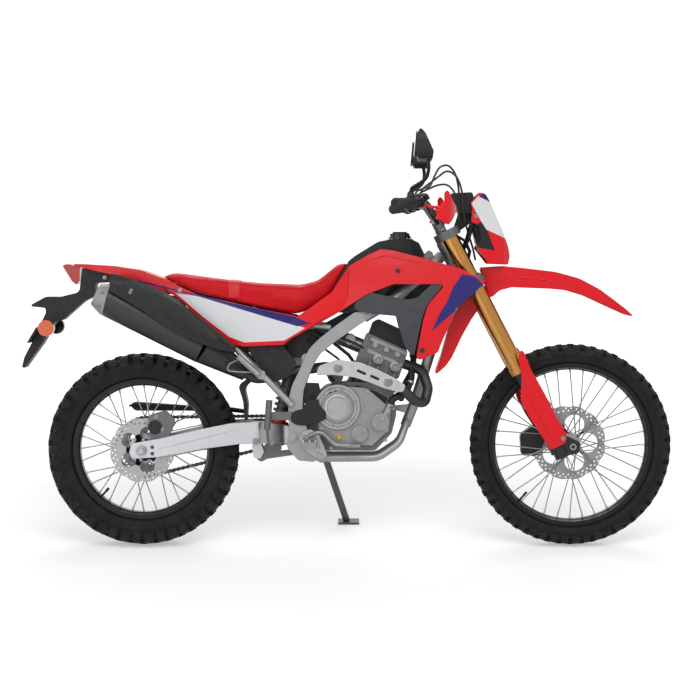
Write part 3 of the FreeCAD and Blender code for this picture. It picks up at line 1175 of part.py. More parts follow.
# Swingarm and rear suspension
def swingarm():
    inner = mm("arm_inner_side")
    outer = inner + mm("arm_thickness")
    side = [(-40, 322, 14), (-32, 352, 16), (55, 367, 60), (200, 400, 100), (300, 420, 80), (400, 425, 30),
            (470, 415, 30), (520, 400, 14), (540, 373, 14), (520, 346, 14), (470, 350, 30), (400, 352, 40),
            (330, 350, 60), (200, 333, 80), (60, 306, 60), (-30, 300, 14)]
    plan = [(-60, inner, 0), (370, inner, 20), (470, 38, 20), (548, 38, 0), (548, 62, 0), (480, 62, 20),
            (395, outer, 20), (-60, outer, 0)]
    arm = common("arm_left", [slab("arm_side", side, 0.0, 150.0), plan_slab("arm_plan", plan, 280, 460)])
    bridge = slab("arm_bridge", [(352, 412, 12), (392, 420, 12), (398, 362, 12), (350, 360, 12)], -inner - 4,
                  inner + 4)
    link_side = mm("link_half") + mm("running_gap")
    lug = slab("link_lug", [(368, 365, 4), (397, 365, 4), (412, 318, 10), (398, 292, 10), (376, 300, 10)],
               link_side, link_side + 7.0)
    tube_mid = cylinder("arm_pivot_tube", 20.0, (PIVOT.x, -60, PIVOT.z), (PIVOT.x, 60, PIVOT.z))
    arms = fuse("swingarm_solid", [arm, mirrored(arm), bridge, tube_mid, lug, mirrored(lug)])
    shaft_bore = cylinder("arm_pivot_bore", "sizes.pivot_shaft_radius + sizes.running_gap",
                          (PIVOT.x, -70, PIVOT.z), (PIVOT.x, 70, PIVOT.z))
    hollow = cut("swingarm_hollow", arms, shaft_bore)
    reach = outer + 16.0
    axle = cylinder("rear_axle", "sizes.axle_radius", (0, -reach, REAR_AXLE.z), (0, reach, REAR_AXLE.z))
    collar_left = cylinder("rear_collar_left", 16.0, (0, mm("chain_side") + 3.0 + mm("running_gap"),
                                                      REAR_AXLE.z),
                           (0, inner + 5, REAR_AXLE.z))
    collar_right = cylinder("rear_collar_right", 16.0,
                            (0, -mm("rear_disc_side") - 2.0 - mm("running_gap"), REAR_AXLE.z),
                            (0, -inner - 5, REAR_AXLE.z))
    nodes["swingarm"] = fuse("swingarm", [hollow, axle, collar_left, collar_right])


def shock():
    low = Vector(446, 0, 352)
    high = Vector(512, 0, 622)
    along = high - low
    along.normalize()
    rod = cylinder("shock_rod", 12.0, tuple(low), tuple(high))
    coils = []
    coil_count = int(mm("spring_coils"))
    spring_low, spring_high, wire = 44.0, 190.0, 9.0
    for i in range(coil_count):
        rise = spring_low + (spring_high - spring_low - wire) * i / (coil_count - 1)
        coils.append(cylinder("spring_coil_%d" % (i + 1), 31.0, tuple(low + along * rise),
                              tuple(low + along * (rise + wire))))
    sleeve = cylinder("spring_sleeve", 21.5, tuple(low + along * 40.0), tuple(low + along * 192.0))
    body = cylinder("shock_body", 25.0, tuple(low + along * 190.0), tuple(high - along * 20.0))
    eye_half = mm("shock_eye_half")
    eye = cylinder("shock_eye", 14.0, (high.x, -eye_half, high.z), (high.x, eye_half, high.z))
    link_half = mm("link_half")
    link = slab("shock_link", [(380, 300, 10), (400, 282, 14), (470, 318, 14), (468, 360, 14),
                               (440, 372, 14)],
                -link_half, link_half)
    rod_end = 548.0 - 14.0 - mm("running_gap")
    arm = slab("link_arm", [(396, 290, 8), (392, 308, 8), (rod_end, 326, 2), (rod_end, 310, 2)],
               link_half - 8.0, link_half)
    nodes["shock"] = fuse("shock", [rod, sleeve, body, eye, link, arm, mirrored(arm)] + coils)


def chain_edge(pin_offset, waist_offset):
    """The chain's edge round both sprockets, that far outside the pitch line at its pins and waists."""
    rear = REAR_AXLE
    front = Vector(mm("front_sprocket_forward"), 0, mm("front_sprocket_height"))
    big = sprocket_radius(int(mm("rear_sprocket_teeth")))
    small = sprocket_radius(int(mm("front_sprocket_teeth")))
    base = math.atan2(front.z - rear.z, front.x - rear.x)
    span = math.hypot(front.x - rear.x, front.z - rear.z)
    tilt = math.acos((big - small) / span)
    run = span * math.sin(tilt)
    low_side = mm("chain_side") - mm("chain_width") / 2
    lengths = [run, 2 * tilt * small, run, (2 * math.pi - 2 * tilt) * big]
    links = 2 * round(sum(lengths) / mm("chain_pitch") / 2)
    spacing = sum(lengths) / links / 2

    def at(centre, radius, angle, shift=0.0):
        """A point on a sprocket's circle, moved along its tangent towards the other sprocket."""
        x = centre.x + radius * math.cos(angle) + shift * math.sin(angle)
        z = centre.z + radius * math.sin(angle) - shift * math.cos(angle)
        return Vector(x, low_side, z)

    corners = []
    for i in range(2 * links):
        offset = waist_offset if i % 2 else pin_offset
        left = i * spacing
        if left < lengths[0]:
            corners.append(at(rear, big + offset, base + tilt, left))
            continue
        left -= lengths[0]
        if left < lengths[1]:
            corners.append(at(front, small + offset, base + tilt - left / small))
            continue
        left -= lengths[1]
        if left < lengths[2]:
            corners.append(at(front, small + offset, base - tilt, left))
            continue
        left -= lengths[2]
        corners.append(at(rear, big + offset, base - tilt - left / big))
    return Part.makePolygon(corners + corners[:1])


def chain():
    """The chain with its links' waists, on the front sprocket and its shaft."""
    half = mm("chain_plate_height") / 2
    waist = mm("chain_waist_height") / 2
    outer = Part.Face(chain_edge(half, waist)).extrude(Vector(0, mm("chain_width"), 0))
    inner = Part.Face(chain_edge(-half, -waist)).extrude(Vector(0, mm("chain_width"), 0))
    band = outer.cut(inner)
    front = (mm("front_sprocket_forward"), mm("front_sprocket_height"))
    small = sprocket_radius(int(mm("front_sprocket_teeth"))) - waist - 0.5
    sprocket = cylinder("front_sprocket", small, (front[0], mm("chain_side") - 5, front[1]),
                        (front[0], mm("chain_side") + 5, front[1]))
    shaft = cylinder("output_shaft", 13.0, (front[0], mm("case_left_side") + 0.5, front[1]),
                     (front[0], mm("chain_side") + 9.5, front[1]))
    nodes["chain"] = fuse("chain", [solid_feature("chain_band", band), sprocket, shaft])
    guard = slab("chain_guard_top", [(-60, 470, 10), (-40, 482, 20), (140, 470, 60), (300, 462, 60),
                                     (345, 455, 4),
                                     (345, 451, 2), (300, 456, 60), (140, 464, 60), (-40, 474, 20),
                                     (-56, 464, 10)], 64.0, 100.0)
    guard_wall = slab("chain_guard_wall", [(-60, 470, 10), (-40, 482, 20), (140, 470, 60), (300, 462, 60),
                                           (345, 455, 4), (345, 440, 4), (300, 445, 40), (140, 450, 60),
                                           (-40, 450, 20)], 96.0, 100.0)
    post = cylinder("chain_guard_post", 6.0, (220, 98, 405.5), (220, 98, 458))
    nodes["chain_guard"] = fuse("chain_guard", [guard, guard_wall, post])


def brakes():
    side = mm("rear_disc_side")
    inner = mm("arm_inner_side")
    gap = mm("running_gap")
    rear_body = slab("rear_caliper_body", [(20, 400, 10), (24, 446, 14), (80, 462, 14), (112, 430, 14),
                                           (100, 388, 10), (60, 378, 10)], -inner + gap, -side + 16.0)
    rear_ear = slab("rear_caliper_ear", [(34, 342, 8), (92, 346, 8), (100, 395, 8), (24, 405, 8)],
                    -inner + gap,
                    -side - 7.0)
    rear_slot = cylinder("rear_caliper_slot", mm("rear_disc_radius") + 4.0, (0, -side - 3.5, REAR_AXLE.z),
                         (0, -side + 3.5, REAR_AXLE.z))
    rear = cut("rear_caliper", fuse("rear_caliper_solid", [rear_body, rear_ear]), rear_slot)
    pump_body = cylinder("rear_pump", 11.0, (426, -132, 400), (434, -132, 500))
    pump_rod = cylinder("rear_pump_rod", 4.5, (426, -132, 402), (432, -132, 345))
    frame_side = mm("spar_inner_side") + mm("spar_thickness") + gap
    pump_plate = slab("rear_pump_plate", [(420, 432, 6), (420, 460, 6), (520, 460, 6), (520, 432, 6)],
                      -frame_side - 6.0, -frame_side)
    nodes["rear_brake"] = group("rear_brake", [rear, fuse("rear_pump_solid",
                                                          [pump_body, pump_rod, pump_plate])])
    spread = mm("fork_half_spread")
    front_side = mm("front_disc_side")
    body = slab("front_caliper_body", from_place(FRONT_AXLE,
                                                 [(-163, -43, 12), (-167, 29, 16), (-125, 59, 16),
                                                  (-87, 49, 14),
                                       (-83, 5, 14), (-105, -43, 14)]), front_side - 20.0, spread - 2.0)
    slot = cylinder("front_caliper_slot", mm("front_disc_radius") + 4.0,
                    (FRONT_AXLE.x, front_side - 3.5, FRONT_AXLE.z),
                    (FRONT_AXLE.x, front_side + 3.5, FRONT_AXLE.z))
    leg = upright["fork_sliders"]
    nodes["front_brake"] = cut("front_brake", cut("front_caliper", body, slot), leg)


def foot_controls():
    inner = mm("spar_inner_side")
    outer = inner + mm("spar_thickness")
    peg = cylinder("rider_peg", 10.0, (572, outer + 0.3, 352), (572, outer + 30, 352))
    peg_pad = block("peg_pad", (549, outer + 22, 341), (593, outer + 88, 364))
    peg_solid = fuse("rider_peg_left", [peg, peg_pad])
    stub_side = inner + 48 + mm("running_gap")
    stub = cylinder("passenger_stub", 9.0, (392, stub_side, 592), (392, stub_side + 14, 592))
    peg_end = (330, stub_side + 16, 648)
    folded = cylinder("passenger_peg", 10.5, (399, stub_side + 16, 586), peg_end)
    wire = tube("passenger_wire", 3.0, [(334, stub_side + 16, 640), (300, stub_side + 10, 622),
                                        (292, stub_side + 8, 600), (330, stub_side + 9, 596),
                                        (388, stub_side + 10, 594)], 14.0)
    passenger = fuse("passenger_peg_left", [stub, folded, wire])
    pedal = tube("brake_pedal", 7.0, [(556, -outer - 11, 372), (604, -outer - 12, 398),
                                      (655, -outer - 12, 350),
                                      (725, -outer - 12, 346)], 30.0)
    pedal_pivot = cylinder("pedal_pivot", 12.0, (556, -outer - 0.3, 372), (556, -outer - 20, 372))
    pedal_pad = block("pedal_pad", (712, -outer - 30, 342), (740, -outer - 4, 352))
    shifter = tube("shift_lever", 6.0, [(662, outer + 13, 392), (712, outer + 15, 368),
                                        (762, outer + 17, 372)], 40.0)
    shift_post = cylinder("shift_post", 9.0, (662, mm("case_left_side") + 52.3, 392), (662, outer + 20, 392))
    shift_pad = cylinder("shift_pad", 9.5, (758, outer + 7, 372), (758, outer + 46, 372))
    nodes["foot_controls"] = group("foot_controls", [
        peg_solid, mirrored(peg_solid), passenger, mirrored(passenger), fuse("pedal_side",
                                                                             [pedal, pedal_pivot, pedal_pad]),
        fuse("shift_side", [shifter, shift_post, shift_pad])])


def cooling_and_intake():
    """The radiator behind the left shroud, its hose, and the throttle body behind the cylinder."""
    core = slab("radiator_core", [(912, 655), (940, 648), (992, 832), (964, 840)], 62.0, 130.0)
    tank_low = slab("radiator_low", [(908, 632, 6), (938, 632, 6), (944, 652, 4), (911, 660, 4)], 60.0, 132.0)
    tank_high = slab("radiator_high", [(961, 832, 4), (992, 824, 4), (997, 842, 6), (966, 850, 6)], 60.0,
                     132.0)
    tab = slab("radiator_tab", [(938, 690), (1000, 690), (1000, 706), (938, 706)],
               mm("down_tube_radius") + mm("running_gap"), 64.0)
    nodes["radiator"] = fuse("radiator", [core, tank_low, tank_high, tab])
    hose = tube("lower_hose", 11.0, [(922, 80, 631.7), (922, 80, 596), (896, 44, 552), (880, 0, 520),
                                     (878, -40, 500)], 40.0)
    nodes["hoses"] = hose
    body = cylinder("throttle_barrel", 25.0, (742, -20, 678.2), (668, -20, 708))
    pulley = cylinder("throttle_pulley", 18.0, (705, -20, 702), (705, -72, 702))
    duct = tube("intake_duct", 22.0, [(668, -20, 708), (620, -20, 728), (560, -6, 737), (500.3, -6, 737)],
                100.0)
    nodes["throttle_body"] = fuse("throttle_body", [body, pulley, duct])


def rear_small_parts():
    inner_fender = slab("inner_fender", [(346, 425, 3), (354, 425, 3), (358, 480, 60), (346, 536, 30),
                                         (372, 560, 20), (382, 656, 2), (372, 656, 2), (360, 570, 20),
                                         (324, 546, 20), (341, 490, 60)], -44.0, 44.0)
    nodes["inner_fender"] = inner_fender


def side_stand():
    """The leg and its foot, which lies flat on the ground when the machine leans on it."""
    pivot, foot = STAND_PIVOT, STAND_FOOT
    lean = math.radians(mm("lean_angle"))
    up = Vector(0, -math.sin(lean), math.cos(lean))
    leg = cylinder("stand_leg", "sizes.stand_leg_radius", tuple(pivot), tuple(foot + up * 8.0))
    pad = doc.addObject("Part::Box", "stand_foot")
    pad.Length, pad.Width, pad.Height = 74.0, 52.0, 8.0
    turn = Rotation(Vector(1, 0, 0), mm("lean_angle"))
    pad.Placement = Placement(foot + turn.multVec(Vector(-30, -24, 0)), turn)
    axis = STAND_AXIS
    boss = cylinder("stand_boss", 19.0, tuple(pivot - axis * 14.0), tuple(pivot + axis * 14.0))
    nodes["side_stand"] = fuse("side_stand", [leg, pad, boss])


front_wheel()
rear_wheel()
BAR_UP = triple_clamps()
fork()
fork_guards()
grip_root, grip_along = handlebar(BAR_UP)
controls(grip_root, grip_along)
hand_guards(grip_root, grip_along)
mirrors(grip_root, grip_along)
cables(grip_root, grip_along)
front_fender()
cowl_and_lamp()
main_frame()
subframe()
engine()
exhaust()
tank_and_shrouds()
seat_and_tail()
swingarm()
shock()
chain()
brakes()
foot_controls()
rear_small_parts()
cooling_and_intake()
side_stand()

# Stance: every sub-part leans to the left together
doc.recompute()
stance = Placement(Vector(-mm("origin_forward"), -mm("origin_left"), GROUND_RISE),
                   Rotation(Vector(1, 0, 0), -mm("lean_angle")))
for name, feature in nodes.items():
    feature.Label = name
    feature.Placement = stance.multiply(feature.Placement)
doc.recompute()

for feature in doc.Objects:
    if "Invalid" in feature.State or "Error" in feature.State:
        raise ValueError("%s failed: %s" % (feature.Label, feature.State))
for name, feature in nodes.items():
    if feature.Shape.isNull() or not feature.Shape.isValid():
        raise ValueError("%s has no valid shape" % name)

os.makedirs("parts", exist_ok=True)
for name, feature in nodes.items():
    feature.Shape.exportStep("parts/%s.step" % name)
    print("%-16s %2d solids" % (name, len(feature.Shape.Solids)))
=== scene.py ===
"""The looks of the dual sport motorcycle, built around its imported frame."""
import math

import bmesh
import bpy
from mathutils import Matrix, Vector
from mathutils.bvhtree import BVHTree


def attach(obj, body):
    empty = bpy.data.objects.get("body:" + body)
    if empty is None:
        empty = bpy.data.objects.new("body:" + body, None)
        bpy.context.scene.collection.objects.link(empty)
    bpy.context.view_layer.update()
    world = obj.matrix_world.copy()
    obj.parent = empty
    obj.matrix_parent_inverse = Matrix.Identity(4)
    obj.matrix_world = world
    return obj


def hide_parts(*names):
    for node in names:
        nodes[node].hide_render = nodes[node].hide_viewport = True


bpy.context.scene.view_settings.view_transform = "Standard"
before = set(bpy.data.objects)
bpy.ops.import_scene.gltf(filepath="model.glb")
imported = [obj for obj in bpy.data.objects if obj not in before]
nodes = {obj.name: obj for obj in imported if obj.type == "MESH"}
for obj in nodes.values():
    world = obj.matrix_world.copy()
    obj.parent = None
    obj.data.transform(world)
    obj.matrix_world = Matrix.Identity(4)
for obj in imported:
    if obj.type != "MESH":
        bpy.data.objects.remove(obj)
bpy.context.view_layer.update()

# The machine's own upright frame, in millimetres, and the way it stands in the shared frame
MM = 0.001
LEAN = math.radians(10.0)
ORIGIN = (693.0, 220.7)
RISE = 15.0 * math.sin(LEAN)
STANCE = (Matrix.Scale(MM, 4) @ Matrix.Translation((-ORIGIN[0], -ORIGIN[1], RISE))
          @ Matrix.Rotation(-LEAN, 4, "X"))
UPRIGHT = STANCE.inverted()
REAR_AXLE = Vector((0.0, 0.0, 327.0))
FRONT_AXLE = Vector((1455.0, 0.0, 343.0))
REAR_BEAD = 228.6
FRONT_BEAD = 266.7
RIGHT = (0, -1, 0)
LEFT = (0, 1, 0)
BOTH = (-1, 1)
TURN = 2 * math.pi


def srgb(red, green, blue):
    """A colour written 0 to 255, as the shader's linear numbers."""
    def linear(c):
        c = c / 255.0
        return c / 12.92 if c <= 0.04045 else ((c + 0.055) / 1.055) ** 2.4
    return (linear(red), linear(green), linear(blue), 1.0)


def camera():
    """Looks straight at the machine's middle plane and leans with it, so it stands upright in view."""
    data = bpy.data.cameras.new("camera")
    data.sensor_width = 36.0
    data.lens = 120.6
    data.clip_end = 100.0
    obj = bpy.data.objects.new("camera", data)
    bpy.context.scene.collection.objects.link(obj)
    eye = STANCE @ Vector((772.0, -8000.0, 954.0))
    aim = STANCE @ Vector((704.0, 0.0, 664.0))
    back = (eye - aim).normalized()
    up = (STANCE.to_3x3() @ Vector((0.0, 0.0, 1.0))).normalized()
    right = up.cross(back).normalized()
    up = back.cross(right)
    obj.matrix_world = Matrix.Translation(eye) @ Matrix((right, up, back)).transposed().to_4x4()
    bpy.context.scene.camera = obj


def area_light(name, place, aim, width, height, power):
    data = bpy.data.lights.new(name, "AREA")
    data.shape = "RECTANGLE"
    data.size, data.size_y = width, height
    data.energy = power
    obj = bpy.data.objects.new(name, data)
    bpy.context.scene.collection.objects.link(obj)
    obj.location = place
    obj.rotation_mode = "QUATERNION"
    obj.rotation_quaternion = (Vector(aim) - Vector(place)).to_track_quat("-Z", "Y")


def new_node(tree, kind, inputs=None, **settings):
    """A shader node with its settings; each input is given a value, a socket to link, or None."""
    node = tree.nodes.new("ShaderNode" + kind)
    for name, value in settings.items():
        setattr(node, name, value)
    for key, value in (inputs or {}).items():
        if isinstance(value, bpy.types.NodeSocket):
            tree.links.new(value, node.inputs[key])
        elif value is not None:
            node.inputs[key].default_value = value
    return node


def seen_by(tree):
    """1 for the rays that show a surface to the camera, straight, mirrored or through glass."""
    rays = new_node(tree, "LightPath").outputs
    seen = rays["Is Camera Ray"]
    for ray in ("Is Glossy Ray", "Is Transmission Ray"):
        seen = new_node(tree, "Math", {0: seen, 1: rays[ray]}, operation="ADD", use_clamp=True).outputs[0]
    return seen


def empty_tree(holder):
    holder.use_nodes = True
    holder.node_tree.nodes.clear()
    return holder.node_tree


def studio():
    """A white world, three soft lamps, and a pale floor under the object's shadow."""
    pure = (1.0, 1.0, 1.0, 1.0)
    light_on_object, light_seen = 0.4, 1.0
    world = bpy.data.worlds.new("studio")
    bpy.context.scene.world = world
    tree = empty_tree(world)
    soft, bright = [new_node(tree, "Background", {"Color": pure, "Strength": strength}).outputs[0]
                    for strength in (light_on_object, light_seen)]
    sky = new_node(tree, "MixShader", {0: seen_by(tree), 1: soft, 2: bright}).outputs[0]
    new_node(tree, "OutputWorld", {"Surface": sky})
    area_light("key", (0.6, -3.2, 4.2), (0.0, 0.0, 0.6), 4.5, 2.4, 105.0)
    area_light("fill", (-2.6, -4.6, 1.6), (0.0, 0.0, 0.7), 3.0, 2.4, 34.0)
    area_light("back", (0.2, 3.6, 3.4), (0.0, 0.0, 0.7), 4.0, 2.0, 70.0)

    size = 40.0
    just_below = -0.0006
    mesh = bpy.data.meshes.new("floor")
    mesh.from_pydata([(-size, -size, 0), (size, -size, 0), (size, size, 0), (-size, size, 0)], [],
                     [(0, 1, 2, 3)])
    floor = bpy.data.objects.new("floor", mesh)
    bpy.context.scene.collection.objects.link(floor)
    floor.location.z = just_below
    mat = bpy.data.materials.new("floor")
    tree = empty_tree(mat)
    # Painted light: the floor's glow, seen only by camera, mirrored and refracted rays, grows from 0.4 within
    # 0.9 m of the floor's middle to 0.75 beyond 4 m, standing in for the lamps' light where it fades with
    # distance
    place = new_node(tree, "TexCoord").outputs["Object"]
    reach = new_node(tree, "VectorMath", {0: place}, operation="LENGTH").outputs["Value"]
    fade = new_node(tree, "MapRange", {"Value": reach, "From Min": 0.9, "From Max": 4.0, "To Min": 0.4,
                                       "To Max": 0.75}).outputs[0]
    amount = new_node(tree, "Math", {0: seen_by(tree), 1: fade}, operation="MULTIPLY").outputs[0]
    glow = new_node(tree, "Emission", {"Color": pure, "Strength": amount}).outputs[0]
    diffuse = new_node(tree, "BsdfDiffuse", {"Color": (0.8, 0.8, 0.8, 1.0)}).outputs[0]
    both = new_node(tree, "AddShader", {0: diffuse, 1: glow}).outputs[0]
    new_node(tree, "OutputMaterial", {"Surface": both})
    mesh.materials.append(mat)


# Materials
class Finish:
    """A Principled material with procedural variation, built up node by node."""

    def __init__(self, name, colour, rough, metal=0.0):
        self.mat = bpy.data.materials.new(name)
        self.mat.use_nodes = True
        self.tree = self.mat.node_tree
        self.shader = self.tree.nodes["Principled BSDF"]
        self.shader.inputs["Base Color"].default_value = colour
        self.shader.inputs["Roughness"].default_value = rough
        self.shader.inputs["Metallic"].default_value = metal
        self.coords = new_node(self.tree, "TexCoord").outputs["Object"]
        self.base = self.colour = colour
        self.rough = rough
        self.normal = None
        self.place = None

    def add(self, kind, inputs, **settings):
        return new_node(self.tree, kind, inputs, **settings).outputs[0]

    def math(self, kind, a, b=None, c=None, clamp=False):
        return self.add("Math", {0: a, 1: b, 2: c}, operation=kind, use_clamp=clamp)

    def hypotenuse(self, a, b):
        return self.math("SQRT", self.math("ADD", self.math("MULTIPLY", a, a), self.math("MULTIPLY", b, b)))

    def noise(self, scale, detail):
        return self.add("TexNoise", {"Vector": self.coords, "Scale": scale, "Detail": detail})

    def drive(self, name, socket):
        """Links a socket to an input of the material's shader."""
        self.tree.links.new(socket, self.shader.inputs[name])

    def paint(self, mask, colour):
        """Lays a colour over what is there, where the mask is 1."""
        mix = new_node(self.tree, "Mix", {"Factor": mask}, data_type="RGBA")
        under, over, result = mix.inputs[6], mix.inputs[7], mix.outputs[2]
        if isinstance(self.colour, tuple):
            under.default_value = self.colour
        else:
            self.tree.links.new(self.colour, under)
        over.default_value = colour
        self.colour = result
        return self

    def vary(self, scale, amount):
        """Patches of a slightly darker tone."""
        tone = tuple(c * (1.0 - amount) for c in self.base[:3]) + (1.0,)
        return self.paint(self.add("MapRange", {"Value": self.noise(scale, 3.0), "From Min": 0.35,
                                                "From Max": 0.75}), tone)

    def rough_vary(self, scale, spread):
        """Patches that are smoother and rougher."""
        self.drive("Roughness", self.add("MapRange", {
            "Value": self.noise(scale, 4.0), "From Min": 0.3, "From Max": 0.7,
            "To Min": max(0.02, self.rough - spread), "To Max": min(1.0, self.rough + spread)}))
        return self

    def soften(self, radius_mm):
        """Rounds the look of hard edges."""
        self.normal = self.add("Bevel", {"Radius": radius_mm * MM, "Normal": self.normal}, samples=4)
        return self

    def grain(self, scale, depth_mm):
        """A fine bump all over."""
        self.normal = self.add("Bump", {"Height": self.noise(scale, 2.0), "Distance": depth_mm * MM,
                                        "Strength": 1.0, "Normal": self.normal})
        return self

    def set(self, **values):
        for name, value in values.items():
            self.shader.inputs[name.replace("_", " ")].default_value = value
        return self

    def upright(self):
        """The place on the machine in its own upright millimetres, as x, y and z sockets."""
        if self.place is None:
            turned = self.add("Mapping", {
                "Vector": self.coords, "Location": UPRIGHT.to_translation(), "Rotation": (LEAN, 0.0, 0.0),
                "Scale": (1.0 / MM,) * 3}, vector_type="POINT")
            self.place = new_node(self.tree, "SeparateXYZ", {0: turned}).outputs
        return self.place

    def above(self, start, end, soft=0.8):
        """1 on the left of the line from start to end, seen from the machine's right, and 0 beyond it."""
        x, _, z = self.upright()
        dx, dz = end[0] - start[0], end[1] - start[1]
        length = math.hypot(dx, dz)
        nx, nz = -dz / length, dx / length
        offset = -(start[0] * nx + start[1] * nz)
        level = self.math("ADD", self.math("MULTIPLY_ADD", x, nx, offset), self.math("MULTIPLY", z, nz))
        return self.math("MULTIPLY_ADD", level, 0.5 / soft, 0.5, clamp=True)

    def area(self, points):
        """1 inside a convex outline given counter-clockwise, as (x, z) pairs."""
        inside = None
        for i, start in enumerate(points):
            side = self.above(start, points[(i + 1) % len(points)])
            inside = side if inside is None else self.math("MINIMUM", inside, side)
        return inside

    def within(self, half_width, soft=0.6):
        """1 nearer to the machine's middle plane than that."""
        _, y, _ = self.upright()
        near, far = [self.math("MULTIPLY_ADD", y, way / soft, half_width / soft, clamp=True)
                     for way in (1.0, -1.0)]
        return self.math("MULTIPLY", near, far)

    def drilled(self, centre, rows, count, hole):
        """Rings of see-through dots that stand for a brake disc's holes, which its mesh doesn't have."""
        x, _, z = self.upright()
        across = self.math("SUBTRACT", x, centre.x)
        up = self.math("SUBTRACT", z, centre.z)
        radius = self.hypotenuse(across, up)
        turn = self.math("MULTIPLY", self.math("ARCTAN2", up, across), count / TURN)
        solid = None
        for i, row in enumerate(rows):
            # Every other row is half a step on; whole turns keep the sum above zero
            step = self.math("ADD", turn, 0.5 * i + 8.0 * count)
            place = self.math("SUBTRACT", self.math("FRACT", step), 0.5)
            along = self.math("MULTIPLY", place, TURN * row / count)
            far = self.hypotenuse(along, self.math("SUBTRACT", radius, row))
            metal_here = self.math("GREATER_THAN", far, hole)
            solid = metal_here if solid is None else self.math("MULTIPLY", solid, metal_here)
        self.drive("Alpha", solid)
        return self

    def done(self):
        if not isinstance(self.colour, tuple):
            self.drive("Base Color", self.colour)
        if self.normal is not None:
            self.drive("Normal", self.normal)
        return self.mat


RED = srgb(230, 8, 26)
WHITE = srgb(226, 227, 230)
BLUE = srgb(30, 24, 112)
BLACK = srgb(15, 15, 16)

# How metallic each is, its name, colour and roughness, and what metal() is given of the rest
METALS = {
    "frame": (0.6, "silver_paint", (150, 151, 153), 0.42, 0.02, 900.0, 0.06, 5.0),
    "alloy": (1.0, "satin_alloy", (182, 183, 186), 0.36, 0.02, 500.0, 0.06, 4.0),
    "cast": (0.8, "cast_alloy", (140, 140, 139), 0.45, 0.12, 420.0, 0.14, 2.5),
    "cast_dark": (0.6, "cast_dark", (104, 104, 105), 0.5, 0.12, 420.0, 0.14, 2.5),
    "cast_black": (0.4, "cast_black", (34, 34, 36), 0.42, 0.06, 420.0, 0.14, 2.5),
    "machined": (1.0, "machined", (158, 159, 161), 0.34, 0.01, 900.0, 0.05),
    "steel": (1.0, "steel", (140, 141, 143), 0.32, 0.01),
    "dark_steel": (1.0, "dark_steel", (88, 88, 90), 0.4, 0.02),
    "gold": (1.0, "gold_anodised", (176, 126, 68), 0.24, 0.004, 1400.0, 0.05),
    "rim": (0.7, "rim_black", (30, 30, 32), 0.34, 0.01),
    "chain": (1.0, "chain_steel", (74, 71, 66), 0.42, 0.03),
    "header": (0.5, "header_black", (58, 56, 55), 0.42, 0.03, 300.0, 0.3),
    "shield": (1.0, "shield_alloy", (178, 179, 181), 0.34, 0.02, 700.0, 0.06, 3.0),
    "brass": (1.0, "brass", (190, 150, 80), 0.3),
    "core": (1.0, "radiator_core", (46, 46, 48), 0.5, 0.05),
}

# The red panels' fields of colour, convex outlines in (x, z), in the order they are laid
PANELS = {
    "side_cover": (
        (WHITE, [(118, 859), (210, 780), (299, 712), (349, 694), (483, 700), (554, 742), (440, 781),
                 (200, 848)]),
        (BLUE, [(-40, 904), (200, 847), (200, 853), (-40, 909)]),
        (BLUE, [(199, 847), (299, 817), (299, 829), (199, 853)]),
        (BLUE, [(298, 817), (528, 748), (522, 780), (298, 829)]),
        (BLUE, [(527, 748), (574, 757), (521, 780)])),
    "shroud": (
        (BLUE, [(1025, 822), (1067, 811), (1153, 887), (1121, 916), (1080, 924), (1051, 884)]),
        (BLUE, [(978, 732), (1068, 811), (1024, 823), (1003, 789)])),
    "cowl": (
        (WHITE, [(1160, 1075), (1232, 1042), (1180, 1175), (1137, 1187), (1113, 1160)]),
        (BLUE, [(1137, 1184), (1181, 1163), (1185, 1195), (1160, 1200)]),
        # The cowl's black field stands for an opening that the mesh doesn't have: partly the black housing
        # seen through it, partly painted shade inside it
        (BLACK, [(1134, 1012), (1193, 1003), (1168, 1066), (1146, 1100), (1120, 1085)])),
}


def red_plastic(name="red_plastic"):
    return Finish(name, RED, 0.3).soften(3.5).grain(900.0, 0.012).rough_vary(40.0, 0.05).set(
        Specular_IOR_Level=0.3, Coat_Weight=0.12, Coat_Roughness=0.12).vary(12.0, 0.05)


def black_plastic(name="black_plastic", colour=BLACK):
    return Finish(name, colour, 0.5).soften(1.0).vary(30.0, 0.2).grain(1600.0, 0.05).rough_vary(
        60.0, 0.08).set(Specular_IOR_Level=0.35)


def metal(name, shade, rough, grain_mm=0.02, scale=700.0, amount=0.12, edge_mm=1.0):
    return Finish(name, srgb(*shade), rough, 1.0).soften(edge_mm).vary(45.0, amount).grain(
        scale, grain_mm).rough_vary(55.0, 0.08)


